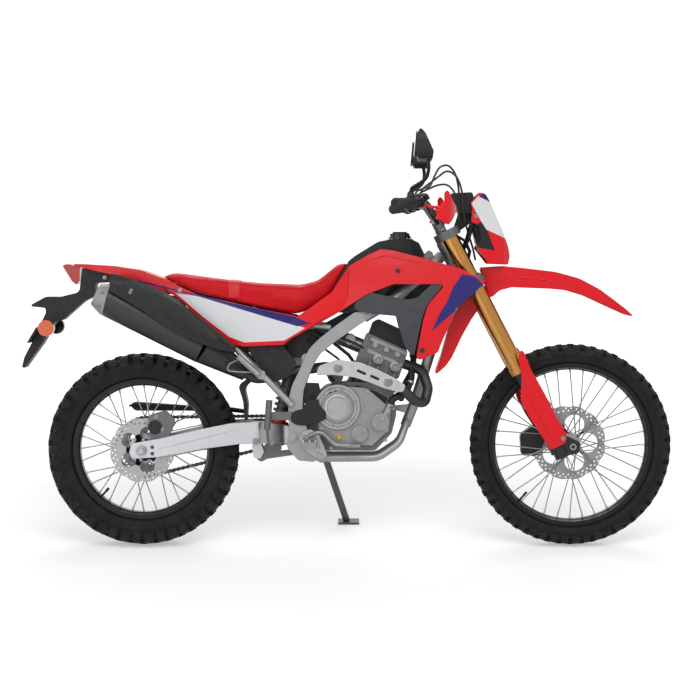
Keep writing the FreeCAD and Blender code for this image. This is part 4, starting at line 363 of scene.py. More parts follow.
def finishes():
    made = {look: metal(*rest).set(Metallic=metallic).done() for look, (metallic, *rest) in METALS.items()}
    for look, fields in PANELS.items():
        panel = red_plastic(look + "_plastic")
        for colour, outline in fields:
            panel.paint(panel.area(outline), colour)
        made[look] = panel.done()
    made["red"] = red_plastic().done()
    blinker = Finish("blinker", srgb(214, 84, 8), 0.16).grain(260.0, 0.2)
    made["blinker"] = blinker.paint(blinker.within(138.0), BLACK).done()
    for end, radius, centre, count in (("front", 128.0, FRONT_AXLE, 40), ("rear", 110.0, REAR_AXLE, 34)):
        plate = metal(end + "_disc_steel", (150, 150, 151), 0.34, 0.01, 300.0, 0.08)
        plate.paint(plate.area(ring_of((centre.x, centre.z), 0.5 * radius, 24)), BLACK)
        made[end + "_disc"] = plate.drilled(centre, (radius - 9.0, radius - 18.0), count, 2.9).done()
    made["black"] = black_plastic().done()
    made["gloss_black"] = Finish("gloss_black", srgb(18, 18, 20), 0.22).soften(1.0).rough_vary(
        40.0, 0.06).done()
    made["duct"] = black_plastic("duct_plastic", srgb(62, 64, 68)).done()
    made["rubber"] = Finish("tyre_rubber", srgb(10, 10, 11), 0.62).vary(18.0, 0.35).grain(520.0, 0.18).grain(
        2200.0, 0.05).rough_vary(25.0, 0.12).set(Specular_IOR_Level=0.25).done()
    # The lugs' rubber is the carcass's rubber painted lighter: painted light on the lugs, so they stand out
    # from the carcass
    made["lug"] = Finish("lug_rubber_painted_light", srgb(27, 27, 28), 0.7).vary(12.0, 0.4).grain(900.0, 0.12).rough_vary(
        25.0, 0.12).set(Specular_IOR_Level=0.25).done()
    made["grip"] = Finish("grip_rubber", srgb(26, 26, 28), 0.7).soften(0.8).grain(1500.0, 0.08).done()
    made["hose"] = Finish("hose_rubber", srgb(30, 30, 32), 0.6).soften(0.6).grain(900.0, 0.06).done()
    can = metal("muffler_grey", (52, 52, 54), 0.42, 0.03, 800.0, 0.1).set(Metallic=0.5)
    made["muffler"] = can.paint(can.above((-125, 783), (-90, 915)), srgb(150, 150, 152)).done()
    spring = metal("shock_steel", (70, 70, 73), 0.4, 0.02).set(Metallic=0.3)
    spring.paint(spring.above((600, 440), (300, 470)), srgb(190, 14, 26))
    made["shock"] = spring.paint(spring.above((600, 352), (300, 352)), srgb(104, 104, 106)).done()
    made["vinyl"] = Finish("seat_vinyl", srgb(206, 8, 24), 0.5).vary(14.0, 0.06).grain(700.0, 0.12).grain(
        2600.0, 0.03).rough_vary(30.0, 0.06).set(Specular_IOR_Level=0.2).done()
    made["strap"] = Finish("seat_strap", srgb(206, 22, 36), 0.5).soften(0.8).grain(900.0, 0.1).rough_vary(
        40.0, 0.06).done()
    made["lens"] = Finish("clear_lens", (0.95, 0.95, 0.95, 1.0), 0.06).grain(60.0, 0.05).set(
        Transmission_Weight=0.9, IOR=1.49).done()
    made["red_lens"] = Finish("red_lens", srgb(190, 10, 14), 0.12).grain(220.0, 0.2).set(
        Transmission_Weight=0.3, IOR=1.49).done()
    made["mirror"] = Finish("mirror_glass", srgb(196, 203, 209), 0.03, 1.0).rough_vary(40.0, 0.02).done()
    return made


# The nodes that each look is put on
DRESSED = {
    "rim": "front_rim rear_rim", "steel": "front_hub rear_hub rear_sprocket", "front_disc": "front_disc",
    "rear_disc": "rear_disc", "cast_dark": "triple_clamps engine rear_brake",
    "cast_black": "fork_sliders front_brake", "gold": "fork_outers",
    "red": "fork_guards hand_guards front_fender", "dark_steel": "handlebar side_stand", "grip": "grips",
    "black": "controls mirrors meter head_cover muffler_shield tank airbox plate_bracket chain_guard "
             "inner_fender",
    "hose": "cables hoses", "cowl": "cowl", "lens": "headlight", "frame": "main_frame subframe",
    "cast": "engine_covers foot_controls throttle_body", "header": "header_pipe", "shield": "header_shield",
    "muffler": "muffler", "gloss_black": "fuel_cap", "shroud": "shrouds", "duct": "ducts",
    "side_cover": "side_covers tail_fender", "red_lens": "tail_light", "blinker": "indicators",
    "alloy": "swingarm", "shock": "shock", "chain": "chain", "core": "radiator",
}


def dress_nodes():
    for look, names in DRESSED.items():
        for name in names.split():
            nodes[name].data.materials.clear()
            nodes[name].data.materials.append(made[look])


def circle(centre, across, up, radius, steps):
    return [centre + (across * math.cos(a) + up * math.sin(a)) * radius
            for a in (TURN * i / steps for i in range(steps))]


class Shape:
    """A piece's mesh, drawn in the machine's upright millimetres."""

    def __init__(self):
        self.bm = bmesh.new()

    def skin(self, rings, loop=False, look=0):
        """Closes rings of as many points each into a skin, with flat ends unless it loops."""
        rows = [[self.bm.verts.new(point) for point in ring] for ring in rings]
        count = len(rows)
        faces = []
        for i in range(count if loop else count - 1):
            near, far = rows[i], rows[(i + 1) % count]
            for j in range(len(near)):
                faces.append(self.bm.faces.new((near[j - 1], near[j], far[j], far[j - 1])))
        if not loop:
            faces.append(self.bm.faces.new(rows[0]))
            faces.append(self.bm.faces.new(list(reversed(rows[-1]))))
        for face in faces:
            face.material_index = look

    def lathe(self, profile, place, axis, steps, look=0, loop=False):
        """Turns (along, radius) pairs about an axis."""
        axis = Vector(axis).normalized()
        across = axis.orthogonal().normalized()
        up = axis.cross(across)
        self.skin([circle(Vector(place) + axis * along, across, up, radius, steps)
                   for along, radius in profile], loop, look)

    def bolt(self, place, axis, radius, look=0):
        """A socket-headed bolt on its washer."""
        profile = [(-0.6, 1.35), (0.18, 1.35), (0.24, 1.28), (0.26, 1.0), (0.75, 0.97), (0.92, 0.84),
                   (0.95, 0.55), (0.4, 0.5)]
        self.lathe([(a * radius, r * radius) for a, r in profile], place, axis, 12, look)

    def nut(self, place, axis, radius, look=0):
        """A hexagon head on its washer."""
        self.lathe([(-0.4 * radius, 1.3 * radius), (0.15 * radius, 1.3 * radius)], place, axis, 20, look)
        self.lathe([(0.1 * radius, 1.08 * radius), (0.8 * radius, 1.08 * radius),
                    (0.95 * radius, 0.9 * radius)], place, axis, 6, look)

    def tube(self, points, radius, sides=8):
        """A round line through the points, of one radius or one a point."""
        points = [Vector(p) for p in points]
        across = (points[1] - points[0]).orthogonal().normalized()
        rings = []
        for i, point in enumerate(points):
            along = (points[min(i + 1, len(points) - 1)] - points[max(i - 1, 0)]).normalized()
            across = (across - along * across.dot(along)).normalized()
            up = along.cross(across)
            size = radius[i] if isinstance(radius, (list, tuple)) else radius
            rings.append(circle(point, across, up, size, sides))
        self.skin(rings)

    def slab(self, outline, low, high, edge):
        """An (x, z) outline between two Y, its edges taken off."""
        points = [Vector((x, 0.0, z)) for x, z in outline]
        middle = sum(points, Vector()) / len(points)
        small = [p + (middle - p).normalized() * edge for p in points]
        rise = edge if high > low else -edge
        rings = []
        for ring, y in ((small, low), (points, low + rise), (points, high - rise), (small, high)):
            rings.append([Vector((p.x, y, p.z)) for p in ring])
        self.skin(rings)

    def finish(self, name, body, *looks, angle=35.0):
        bmesh.ops.recalc_face_normals(self.bm, faces=self.bm.faces)
        mesh = bpy.data.meshes.new(name)
        self.bm.to_mesh(mesh)
        self.bm.free()
        mesh.transform(STANCE)
        mesh.shade_smooth()
        mesh.set_sharp_from_angle(angle=math.radians(angle))
        for look in looks:
            mesh.materials.append(made[look])
        obj = bpy.data.objects.new(name, mesh)
        bpy.context.scene.collection.objects.link(obj)
        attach(obj, body)
        return obj


def tree_of(mesh):
    return BVHTree.FromPolygons([UPRIGHT @ v.co for v in mesh.vertices],
                                [list(p.vertices) for p in mesh.polygons])


TREES = {}
FAR_OUT = 700.0


def struck(name, start, way):
    """Where a ray meets a node, and the surface's direction against the ray."""
    if name not in TREES:
        TREES[name] = tree_of(nodes[name].data)
    spot, normal, _, _ = TREES[name].ray_cast(Vector(start), Vector(way).normalized())
    if spot is None:
        raise ValueError("no %s at %s" % (name, tuple(start)))
    return spot, -normal if normal.dot(Vector(way)) > 0 else normal


def on_side(name, x, z, side=-1):
    return struck(name, (x, side * FAR_OUT, z), (0, -side, 0))


def bolts(shape, name, places, radius, sides=(-1,), look=0, flat=False):
    """Bolts where lines from the side meet a node."""
    for x, z in places:
        for side in sides:
            spot, normal = on_side(name, x, z, side)
            shape.bolt(spot, (0, side, 0) if flat else normal, radius, look)


def ring_of(centre, radius, count, start=0.0):
    return [(centre[0] + radius * math.cos(start + TURN * i / count),
             centre[1] + radius * math.sin(start + TURN * i / count)) for i in range(count)]


# Tyres
def knobby(name, body, centre, radius, width, bead, rim_width, rows):
    """Ribbed sidewalls, and rows of lugs: shoulder lugs between rows of one or two centre lugs."""
    shape = Shape()
    wall = radius - bead
    inner = rim_width / 2 - 3.3
    # Half the section, from bead to crown, as (across from the middle, out from the bead)
    half = [(inner, 0.3), (inner, 12.3), (inner + 4.0, 14.5), (inner + 4.4, 16.0), (width * 0.42, 17.0),
            (width * 0.445, 0.34 * wall), (width * 0.46, 0.46 * wall), (width * 0.475, 0.465 * wall),
            (width * 0.478, 0.5 * wall), (width * 0.465, 0.51 * wall), (width * 0.455, 0.6 * wall),
            (width * 0.42, 0.7 * wall), (width * 0.36, wall - 21.0), (width * 0.28, wall - 15.5),
            (width * 0.14, wall - 12.6), (0.0, wall - 12.0)]
    profile = half + [(-s, r) for s, r in reversed(half[:-1])]
    rings = []
    steps = rows * 3
    for i in range(steps):
        a = TURN * i / steps
        rings.append([Vector((centre.x + (bead + r) * math.cos(a), s, centre.z + (bead + r) * math.sin(a)))
                      for s, r in profile])
    shape.skin(rings, True)

    def lug(angle, half_length, section):
        """A block on the tread; section lists its (side, depth below the crown), base first and last."""
        rings = []
        for t, drop in ((-1.0, 1.8), (-0.88, 0.0), (0.88, 0.0), (1.0, 1.8)):
            ring = []
            for k, (s, depth) in enumerate(section):
                top = 0 < k < len(section) - 1
                r = radius - 0.3 - depth - (drop if top else 0.0)
                along = t * half_length * (1.0 if top else 1.08)
                ring.append(Vector((centre.x + r * math.cos(angle) - along * math.sin(angle), s,
                                    centre.z + r * math.sin(angle) + along * math.cos(angle))))
            rings.append(ring)
        shape.skin(rings, look=1)

    pitch = TURN / rows
    edge = width * 0.5
    length = pitch * radius * 0.29
    for i in range(rows):
        angle = (i + 0.5) * pitch
        if i % 2:
            lug(angle, length * 0.9, [(-12, 16), (-11, 1.4), (-9, 0), (9, 0), (11, 1.4), (12, 16)])
        else:
            for way in BOTH:
                lug(angle, length * 0.9, [(way * s, d) for s, d in (
                    (4, 16), (4.5, 1.4), (6, 0), (width * 0.24, 1.4), (width * 0.26, 3.2),
                    (width * 0.27, 19))])
        for way in BOTH:
            long = 1.12 if i % 2 else 0.94
            outer = edge - (1.0 if i % 2 else 3.5)
            lug(i * pitch, length * long, [(way * s, d) for s, d in (
                (width * 0.25, 19), (width * 0.27, 5.0), (width * 0.29, 3.4), (outer - 4.0, 10.0),
                (outer, 13.0), (outer - 0.5, 0.4 * wall), (edge * 0.88, 0.47 * wall))])
    piece = shape.finish(name, body, "rubber", "lug", angle=28.0)
    return piece


# Wheels
def nipples(shape, centre, half, flange, count, face, offset):
    """The thick ends that join the spokes to the rim, and the heads in the hub's flanges."""
    lacing = math.radians(56.0)
    for i in range(count):
        side = 1 if i % 2 else -1
        lace = 1 if (i // 2) % 2 else -1
        rim_angle = TURN * i / count
        hub_angle = rim_angle + lace * lacing
        start = centre + Vector((flange * math.cos(hub_angle), side * (half - 14.5),
                                 flange * math.sin(hub_angle)))
        end = centre + Vector((face * math.cos(rim_angle), side * offset, face * math.sin(rim_angle)))
        way = (start - end).normalized()
        shape.lathe([(-3.0, 3.6), (9.0, 3.4), (10.5, 2.8), (14.0, 2.6)], end, way, 8)
        shape.lathe([(-5.0, 3.4), (-3.6, 4.0), (-2.0, 3.0)], start, way, 8)


def valve(shape, centre, bead):
    angle = -2.3
    out = Vector((math.cos(angle), 0.0, math.sin(angle)))
    shape.lathe([(0, 7.0), (3, 6.6), (3.6, 3.6), (22, 3.6), (23, 4.6), (36, 4.4), (37.5, 3.2)],
                centre + out * (bead - 9.0), -out, 12, 1)


def wheels():
    """The lugged tyres, the ends of the spokes, the hubs' bolts and the valves."""
    front = knobby("front_tyre_lugged", "front_wheel", FRONT_AXLE, radius=343.0, width=88.0,
                   bead=FRONT_BEAD, rim_width=60.0, rows=54)
    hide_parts("front_tyre")
    rear = knobby("rear_tyre_lugged", "rear_wheel", REAR_AXLE, radius=327.0, width=122.0,
                  bead=REAR_BEAD, rim_width=76.0, rows=46)
    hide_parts("rear_tyre")
    shape = Shape()
    nipples(shape, FRONT_AXLE, half=46.0, flange=29.0, count=36, face=255.5, offset=6.0)
    for x, z in ring_of((FRONT_AXLE.x, FRONT_AXLE.z), 33.0, 6, 0.4):
        shape.bolt((x, 62.0, z), LEFT, 4.5)
    valve(shape, FRONT_AXLE, FRONT_BEAD)
    shape.finish("front_wheel_fittings", "front_wheel", "machined", "rubber")
    shape = Shape()
    nipples(shape, REAR_AXLE, half=50.0, flange=44.0, count=32, face=217.5, offset=10.0)
    for x, z in ring_of((0.0, REAR_AXLE.z), 33.0, 6, 0.4):
        shape.bolt((x, -73.0, z), RIGHT, 4.5)
    for x, z in ring_of((0.0, REAR_AXLE.z), 46.0, 6, 0.2):
        shape.nut((x, 77.6, z), LEFT, 5.0)
    valve(shape, REAR_AXLE, REAR_BEAD)
    shape.finish("rear_wheel_fittings", "rear_wheel", "machined", "rubber")


# Seat
def blown_up(piece, frames=20, pressure=4.0):
    """The piece's mesh after a cloth simulation under pressure, with nothing pinned."""
    cloth = piece.modifiers.new("foam", "CLOTH")
    cloth.settings.use_pressure = True
    cloth.settings.uniform_pressure_force = pressure
    cloth.settings.effector_weights.gravity = 0.0
    for step in range(1, frames + 1):
        bpy.context.scene.frame_set(step)
    graph = bpy.context.evaluated_depsgraph_get()
    blown = bpy.data.meshes.new_from_object(piece.evaluated_get(graph))
    piece.modifiers.clear()
    return blown


def seat():
    """The cover over its foam: blown up, its moves cut short and least below, and then smoothed."""
    voxel, most_move, smoothings = 0.0055, 0.007, 14
    piece = bpy.data.objects.new("seat_cushion", nodes["seat"].data.copy())
    bpy.context.scene.collection.objects.link(piece)
    remesh = piece.modifiers.new("even", "REMESH")
    remesh.mode = "VOXEL"
    remesh.voxel_size = voxel
    graph = bpy.context.evaluated_depsgraph_get()
    mesh = bpy.data.meshes.new_from_object(piece.evaluated_get(graph))
    piece.modifiers.clear()
    piece.data = mesh
    start = [v.co.copy() for v in mesh.vertices]
    blown = blown_up(piece)
    for vertex, first, after in zip(mesh.vertices, start, blown.vertices):
        upright = UPRIGHT.to_3x3() @ vertex.normal
        give = max(0.0, min(1.0, 0.6 + upright.normalized().z)) * most_move
        move = after.co - first
        if move.length > give:
            move *= give / move.length
        vertex.co = first + move
    bpy.context.scene.frame_set(1)
    bm = bmesh.new()
    bm.from_mesh(mesh)
    for _ in range(smoothings):
        bmesh.ops.smooth_vert(bm, verts=bm.verts, factor=0.5, use_axis_x=True, use_axis_y=True,
                              use_axis_z=True)
    bm.to_mesh(mesh)
    bm.free()
    mesh.shade_smooth()
    mesh.materials.clear()
    mesh.materials.append(made["vinyl"])
    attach(piece, "chassis")
    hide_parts("seat")
    # Rays meet the cushion from here on
    TREES["seat"] = tree_of(mesh)
    strap = Shape()
    rings = []
    half_turn, steps = 116.0, 40
    for i in range(steps + 1):
        a = math.radians(-half_turn + 2 * half_turn * i / steps)
        way = Vector((0.0, -math.sin(a), -math.cos(a)))
        slope = 0.02 * abs(math.degrees(a))
        ring = []
        for ahead, out in ((298.0, -1.0), (298.0, 2.2), (301.0, 3.0), (331.0, 3.0), (334.0, 2.2),
                           (334.0, -1.0)):
            spot, _ = struck("seat", Vector((ahead - slope, 0.0, 850.0)) - way * 300.0, way)
            ring.append(spot - way * out)
        rings.append(ring)
    strap.skin(rings)
    strap.finish("seat_strap", "chassis", "strap")


# Bolts and small engine fittings
def fasteners():
    """Bolts on the panels, the engine, the fork and the arm, and the engine's round fittings."""
    shape = Shape()
    bolts(shape, "side_covers", [(545, 752), (131, 868)], 6.0, BOTH)
    bolts(shape, "shrouds", [(947, 668), (866, 935)], 6.5, BOTH, look=1)
    bolts(shape, "airbox", [(447, 665)], 6.5, BOTH, look=1)
    bolts(shape, "muffler", [(-132, 818), (-120, 862)], 5.5)
    bolts(shape, "header_shield", [(664, 606), (830, 562)], 5.5)
    bolts(shape, "plate_bracket", [(-128, 912)], 6.0, BOTH)
    shape.finish("body_bolts", "chassis", "steel", "gloss_black")
    shape = Shape()
    bolts(shape, "engine_covers", [(606, 400), (640, 359), (700, 350), (776, 351), (828, 397), (834, 462),
                                   (765, 530), (597, 488), (745, 478)], 5.0, flat=True)
    bolts(shape, "engine_covers", ring_of((737, 385), 21.0, 3, 0.5), 4.0, flat=True)
    bolts(shape, "engine_covers", ring_of((808, 425), 23.0, 4, 0.6), 4.2, flat=True)
    bolts(shape, "engine_covers", ring_of((690, 450), 64.0, 9, 0.2), 4.5, (1,), flat=True)
    bolts(shape, "engine", [(600, 380), (640, 335), (824, 362), (850, 470)], 5.0, BOTH, flat=True)
    for radius in (72.0, 60.0):
        shape.lathe([(-1.0, radius + 3.0), (1.6, radius + 2.6), (1.6, radius - 2.6), (-1.0, radius - 3.0)],
                    (663.0, -110.0, 475.0), RIGHT, 64, loop=True)
    shape.lathe([(-1.0, 44.0), (2.4, 43.0), (3.0, 41.5), (3.0, 36.0), (1.0, 34.0)], (663.0, -120.0, 475.0),
                RIGHT, 48)
    for z, size in ((450.0, 16.0), (494.0, 9.0)):
        shape.lathe([(-1.0, size + 2.0), (2.0, size + 1.5), (2.4, size), (4.5, size - 0.8), (4.5, 5.0),
                     (2.0, 4.6)], (690.0, 112.0, z), LEFT, 32)
    spot, normal = on_side("engine_covers", 668, 374)
    shape.nut(spot, normal, 8.0, 1)
    shape.finish("engine_fittings", "chassis", "machined", "brass")
    shape = Shape()
    bolts(shape, "fork_guards", [(1421, 372)], 6.0, BOTH)
    bolts(shape, "cowl", [(1128, 1118)], 5.5, BOTH)
    bolts(shape, "front_brake", [(1318, 372), (1336, 300)], 6.0, (1,))
    bolts(shape, "triple_clamps", [(1020, 1072), (1100, 892)], 6.0, BOTH)
    for side in BOTH:
        spot, _ = on_side("fork_sliders", 1455, 343, side)
        shape.lathe([(-1, 12.0), (2.0, 11.5), (2.4, 9.5), (2.4, 6.0), (-4.0, 5.6)], spot, (0, side, 0), 24)
    shape.finish("steering_bolts", "steering", "steel")
    shape = Shape()
    for side in BOTH:
        spot, _ = on_side("swingarm", 0.5, 327.5, side)
        shape.nut(spot, (0, side, 0), 13.0)
        bolts(shape, "swingarm", [(38, 340), (38, 318)], 5.0, (side,), flat=True, look=1)
        bolts(shape, "main_frame", [(515, 373)], 10.0, (side,), flat=True)
    shape.finish("arm_fittings", "chassis", "machined", "dark_steel")


def grip_line():
    """The inner and outer ends of the right grip's axis."""
    points = [UPRIGHT @ v.co for v in nodes["grips"].data.vertices]
    points = [p for p in points if p.y < 0]
    middle = sum(points, Vector()) / len(points)
    inner = [p for p in points if p.y > middle.y]
    outer = [p for p in points if p.y <= middle.y]
    way = (sum(outer, Vector()) / len(outer) - sum(inner, Vector()) / len(inner)).normalized()
    reach = max((p - middle).dot(way) for p in points)
    back = min((p - middle).dot(way) for p in points)
    return middle + way * back, middle + way * reach


def controls():
    """Both grips, with a collar, ribs and a rounded end."""
    first_rib, bare_end, pitch = 12.0, 16.0, 6.0
    start, end = grip_line()
    way = (end - start).normalized()
    length = (end - start).length
    grip = Shape()
    profile = [(0.0, 16.6), (1.0, 24.0), (4.0, 24.6), (6.5, 23.0), (8.5, 17.2)]
    place = first_rib
    while place < length - bare_end:
        profile += [(place, 16.2), (place + 1.0, 17.4), (place + 3.4, 17.4), (place + 4.4, 16.2)]
        place += pitch
    profile += [(length - 11.0, 17.6), (length - 3.0, 18.2), (length, 16.8), (length + 0.4, 9.0),
                (length - 3.0, 8.0)]
    for side in (1, -1):
        flip = Vector((1, side, 1))
        grip.lathe(profile, start * flip, way * flip, 28)
    piece = grip.finish("ribbed_grips", "steering", "grip")
    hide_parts("grips")


def mirror_glass():
    """Each mirror's rim, and its glass lying flat inside it."""
    shell = Shape()
    glass = Shape()
    middle = Vector((0.0, -342.0, 1347.0))
    half_width, half_height, squareness, corners, pane = 74.0, 42.0, 0.62, 28, 0.8
    outline = []
    for i in range(corners):
        a = TURN * i / corners
        across, up = math.cos(a), math.sin(a)
        outline.append((middle.y + half_width * math.copysign(abs(across) ** squareness, across),
                        middle.z + half_height * math.copysign(abs(up) ** squareness, up)))
    for side in (1, -1):
        low, high, near, far = [
            struck("mirrors", (800.0, side * (middle.y + across), middle.z + up), (1, 0, 0))[0]
            for across, up in ((0, -28), (0, 28), (45, 0), (-45, 0))]
        normal = (high - low).cross(far - near).normalized()
        normal *= -1.0 if normal.x > 0 else 1.0
        centre = (low + high + near + far) / 4
        rings = []
        for out, size in ((-6.0, 1.0), (3.4, 1.0), (4.4, 0.97), (4.4, 0.93), (3.8, 0.925)):
            ring = []
            for y, z in outline:
                y = side * (middle.y + (y - middle.y) * size)
                z = middle.z + (z - middle.z) * size
                x = centre.x - ((y - centre.y) * normal.y + (z - centre.z) * normal.z) / normal.x
                ring.append(Vector((x, y, z)) + normal * out)
            rings.append(ring)
        shell.skin(rings)
        glass.skin([rings[-1], [point + normal * pane for point in rings[-1]]])
    shell.finish("mirror_rims", "steering", "black")
    glass.finish("mirror_glass", "steering", "mirror")


# Body panels that follow the photograph more closely than the solids
def muffler_cover():
    """The heat shield that rises over the muffler towards the tail."""
    stations = [(-96, 926, 866), (-60, 920, 846), (-20, 908, 822), (30, 889, 790), (80, 867, 757),
                (130, 838, 722), (174, 803, 705), (215, 771, 690), (262, 732, 672), (322, 682, 662)]
    rings = []
    for x, top, low in stations:
        middle = (top + low) / 2
        rings.append([Vector((x, y, z)) for y, z in (
            (-187, low), (-194, middle), (-187, top - 15), (-168, top), (-126, top - 3), (-126, top - 7),
            (-167, top - 5), (-182, top - 18), (-188, middle), (-183, low))])
    shape = Shape()
    shape.skin(rings)
    for x, z in ((60, 800), (118, 762), (176, 724)):
        shape.slab([(x, z + 4), (x + 10, z + 9), (x + 52, z - 22), (x + 44, z - 26)], -193.0, -197.0, 1.2)
    bolts_on = Shape()
    bolts_on.bolt((-25, -191.0, 866), RIGHT, 6.5)
    shape.finish("muffler_cover", "chassis", "black")
    bolts_on.finish("muffler_cover_bolts", "chassis", "steel")


def shroud_tails():
    """Where each shroud runs back under the seat's nose, to the side cover."""
    thick = 3.0
    lower = [(484, 699), (500, 704), (530, 719), (560, 737), (600, 762), (650, 791), (700, 822)]
    upper = [(479, 736), (500, 757), (534, 786), (560, 802), (600, 832), (642, 862), (698, 944)]
    shape = Shape()
    for side in BOTH:
        inward = Vector((0, -side * thick, 0))
        rings = []
        for (x0, z0), (x1, z1) in zip(lower, upper):
            y = side * (120.5 + 0.03 * (x0 - 480))
            outer = [Vector((x0, y, z0)), Vector(((x0 + x1) / 2, y + side * 2.0, (z0 + z1) / 2)),
                     Vector((x1, y, z1))]
            rings.append(outer + [point + inward for point in reversed(outer)])
        shape.skin(rings)
    shape.finish("shroud_tails", "chassis", "side_cover")


def ridge(shape, name, points, radius):
    """A moulded line that stands up along a surface, on both sides, and fades at its ends."""
    steps, least = 6, 0.4
    for side in BOTH:
        line = []
        for (x0, z0), (x1, z1) in zip(points, points[1:]):
            for k in range(steps):
                t = k / steps
                line.append(on_side(name, x0 * (1 - t) + x1 * t, z0 * (1 - t) + z1 * t, side)[0])
        line.append(on_side(name, *points[-1], side)[0])
        count = len(line)
        sizes = [max(least, radius * min(1.0, 4.0 * i / count, 4.0 * (count - 1 - i) / count))
                 for i in range(count)]
        shape.tube(line, sizes)


def moulded_lines():
    """Raised lines on the fender, shrouds and fork guards, and the swingarm's weld."""
    shape = Shape()
    ridge(shape, "front_fender", [(1200, 893), (1250, 914), (1340, 907), (1430, 893), (1500, 868)], 2.6)
    shape.finish("fender_lines", "steering", "red")
    shape = Shape()
    ridge(shape, "shrouds", [(745, 960), (820, 985), (900, 970), (1000, 944)], 2.4)
    shape.finish("shroud_lines", "chassis", "red")
    shape = Shape()
    ridge(shape, "fork_guards", [(1288, 640), (1292, 540), (1330, 462), (1390, 362)], 2.2)
    shape.finish("guard_lines", "steering", "red")
    shape = Shape()
    ridge(shape, "swingarm", [(60, 334), (200, 368), (340, 402)], 1.6)
    shape.finish("weld_seams", "chassis", "alloy")


def front_housing():
    """The black housing and the wires between the cowl and the fork."""
    shape = Shape()
    shape.slab([(1112, 1100), (1128, 1165), (1150, 1160), (1178, 1095), (1198, 1030), (1204, 992),
                (1168, 975), (1140, 1004), (1126, 1050)], -72.0, 72.0, 5.0)
    for side in BOTH:
        for z in (1030, 1056, 1082):
            shape.slab([(1130, z), (1178, z - 4), (1178, z + 6), (1130, z + 10)],
                       side * 71.0, side * 76.0, 1.5)
        shape.tube([(1090, side * 40, 1010), (1104, side * 62, 1040), (1118, side * 70, 1090),
                    (1124, side * 66, 1130)], 7.0, 10)
    for y in (-26, -14, 14, 26):
        shape.tube([(1070, y, 1052), (1096, y * 1.6, 1036), (1112, y * 2.0, 1000), (1104, y * 1.6, 960),
                    (1080, y, 930)], 4.0)
    shape.finish("lamp_housing", "steering", "black")


def head_casting():
    """The ribbed casting behind the steering head."""
    shape = Shape()
    for side in BOTH:
        shape.slab([(936, 946), (952, 984), (970, 1004), (984, 998), (990, 972), (988, 944)],
                   side * 26.0, side * 37.0, 3.0)
        for k in range(3):
            x, z = 950 + 9 * k, 962 + 7 * k
            shape.slab([(x, z), (x + 16, z + 10), (x + 20, z + 4), (x + 4, z - 6)],
                       side * 36.0, side * 39.0, 1.2)
    shape.finish("head_casting", "chassis", "cast")


def engine_dressing():
    """The castings' bosses and ribs, the black covers and hoses, and the hoses' clamps."""
    shape = Shape()
    barrel, cover = -66.0, -110.0
    for x, z in ((800, 634), (857, 609)):
        shape.lathe([(-2, 21), (3, 20.5), (4, 19), (9, 18.5), (10, 17), (10, 9), (6, 8)], (x, barrel, z),
                    RIGHT, 28)
    shape.slab([(770, 700), (776, 712), (900, 660), (894, 648)], barrel + 1, barrel - 5.0, 1.5)
    shape.slab([(760, 660), (764, 672), (884, 620), (880, 608)], barrel + 1, barrel - 4.0, 1.5)
    for x, z in ((790, 684), (828, 668), (866, 652)):
        shape.lathe([(-1, 11), (5, 10.5), (6, 9.5), (6, 5)], (x, barrel, z), RIGHT, 20)
    for k in range(4):
        x, z = 770 + 28 * k, 625 - 12 * k
        shape.slab([(x, z), (x + 5, z - 2), (x - 20, z - 62), (x - 25, z - 60)], barrel + 1, barrel - 4.0,
                   1.0)
    shape.lathe([(0, 17), (10, 16.5), (12, 15), (12, 8), (16, 7.5), (17, 5)], (646, -98.0, 531), RIGHT, 28)
    shape.lathe([(0, 20), (22, 20), (24, 18), (24, 12), (30, 11), (31, 9)], (705, -34.0, 702), RIGHT, 28)
    for x, z in ring_of((663, 475), 62.0, 6, 0.3):
        shape.slab([(x - 3, z - 3), (x + 3, z - 3), (x + 3, z + 3), (x - 3, z + 3)], cover, cover - 3.0, 1.0)
    shape.finish("engine_relief", "chassis", "cast")
    shape = Shape()
    shape.slab([(504, 440), (508, 456), (522, 464), (546, 470), (562, 500), (598, 502), (604, 480),
                (624, 458), (624, 436), (596, 422), (560, 413), (526, 416), (509, 425)], -121.0, -127.0, 2.0)
    shape.slab([(552, 558), (600, 556), (607, 520), (590, 472), (562, 470), (546, 500)], -96.0, -103.0, 2.0)
    shape.lathe([(0, 11), (5, 10.5), (6, 9), (6, 5), (3, 4)], (574, -103.0, 520), RIGHT, 20)
    shape.slab([(726, 548), (800, 522), (832, 503), (822, 486), (790, 500), (722, 528)], -60.0, -84.0, 3.0)
    for radius, sides, points in (
            (12.0, 14, [(838, -106, 476), (848, -106, 500), (874, -99, 518), (900, -84, 536), (912, -62, 570),
                        (914, -50, 604)]),
            (6.0, 10, [(548, -62, 742), (600, -72, 712), (650, -70, 690), (700, -62, 650), (728, -58, 610),
                       (736, -62, 560)]),
            (4.0, 8, [(560, -48, 700), (610, -58, 676), (660, -60, 640), (704, -66, 600), (716, -70, 560)]),
            (4.5, 8, [(600, -78, 735), (660, -80, 712), (720, -70, 690), (760, -60, 668)]),
            (5.0, 8, [(540, -70, 640), (580, -76, 620), (622, -74, 590), (650, -72, 560)])):
        shape.tube(points, radius, sides)
    shape.finish("engine_black_parts", "chassis", "black")
    shape = Shape()
    for spot, way in (((840, -106, 482), (0.35, 0, 1)), ((908, -70, 556), (0.3, 0.4, 1))):
        shape.lathe([(-4, 13.2), (4, 13.2), (4, 12.0), (-4, 12.0)], spot, way, 24, loop=True)
    shape.finish("hose_clamps", "chassis", "steel")


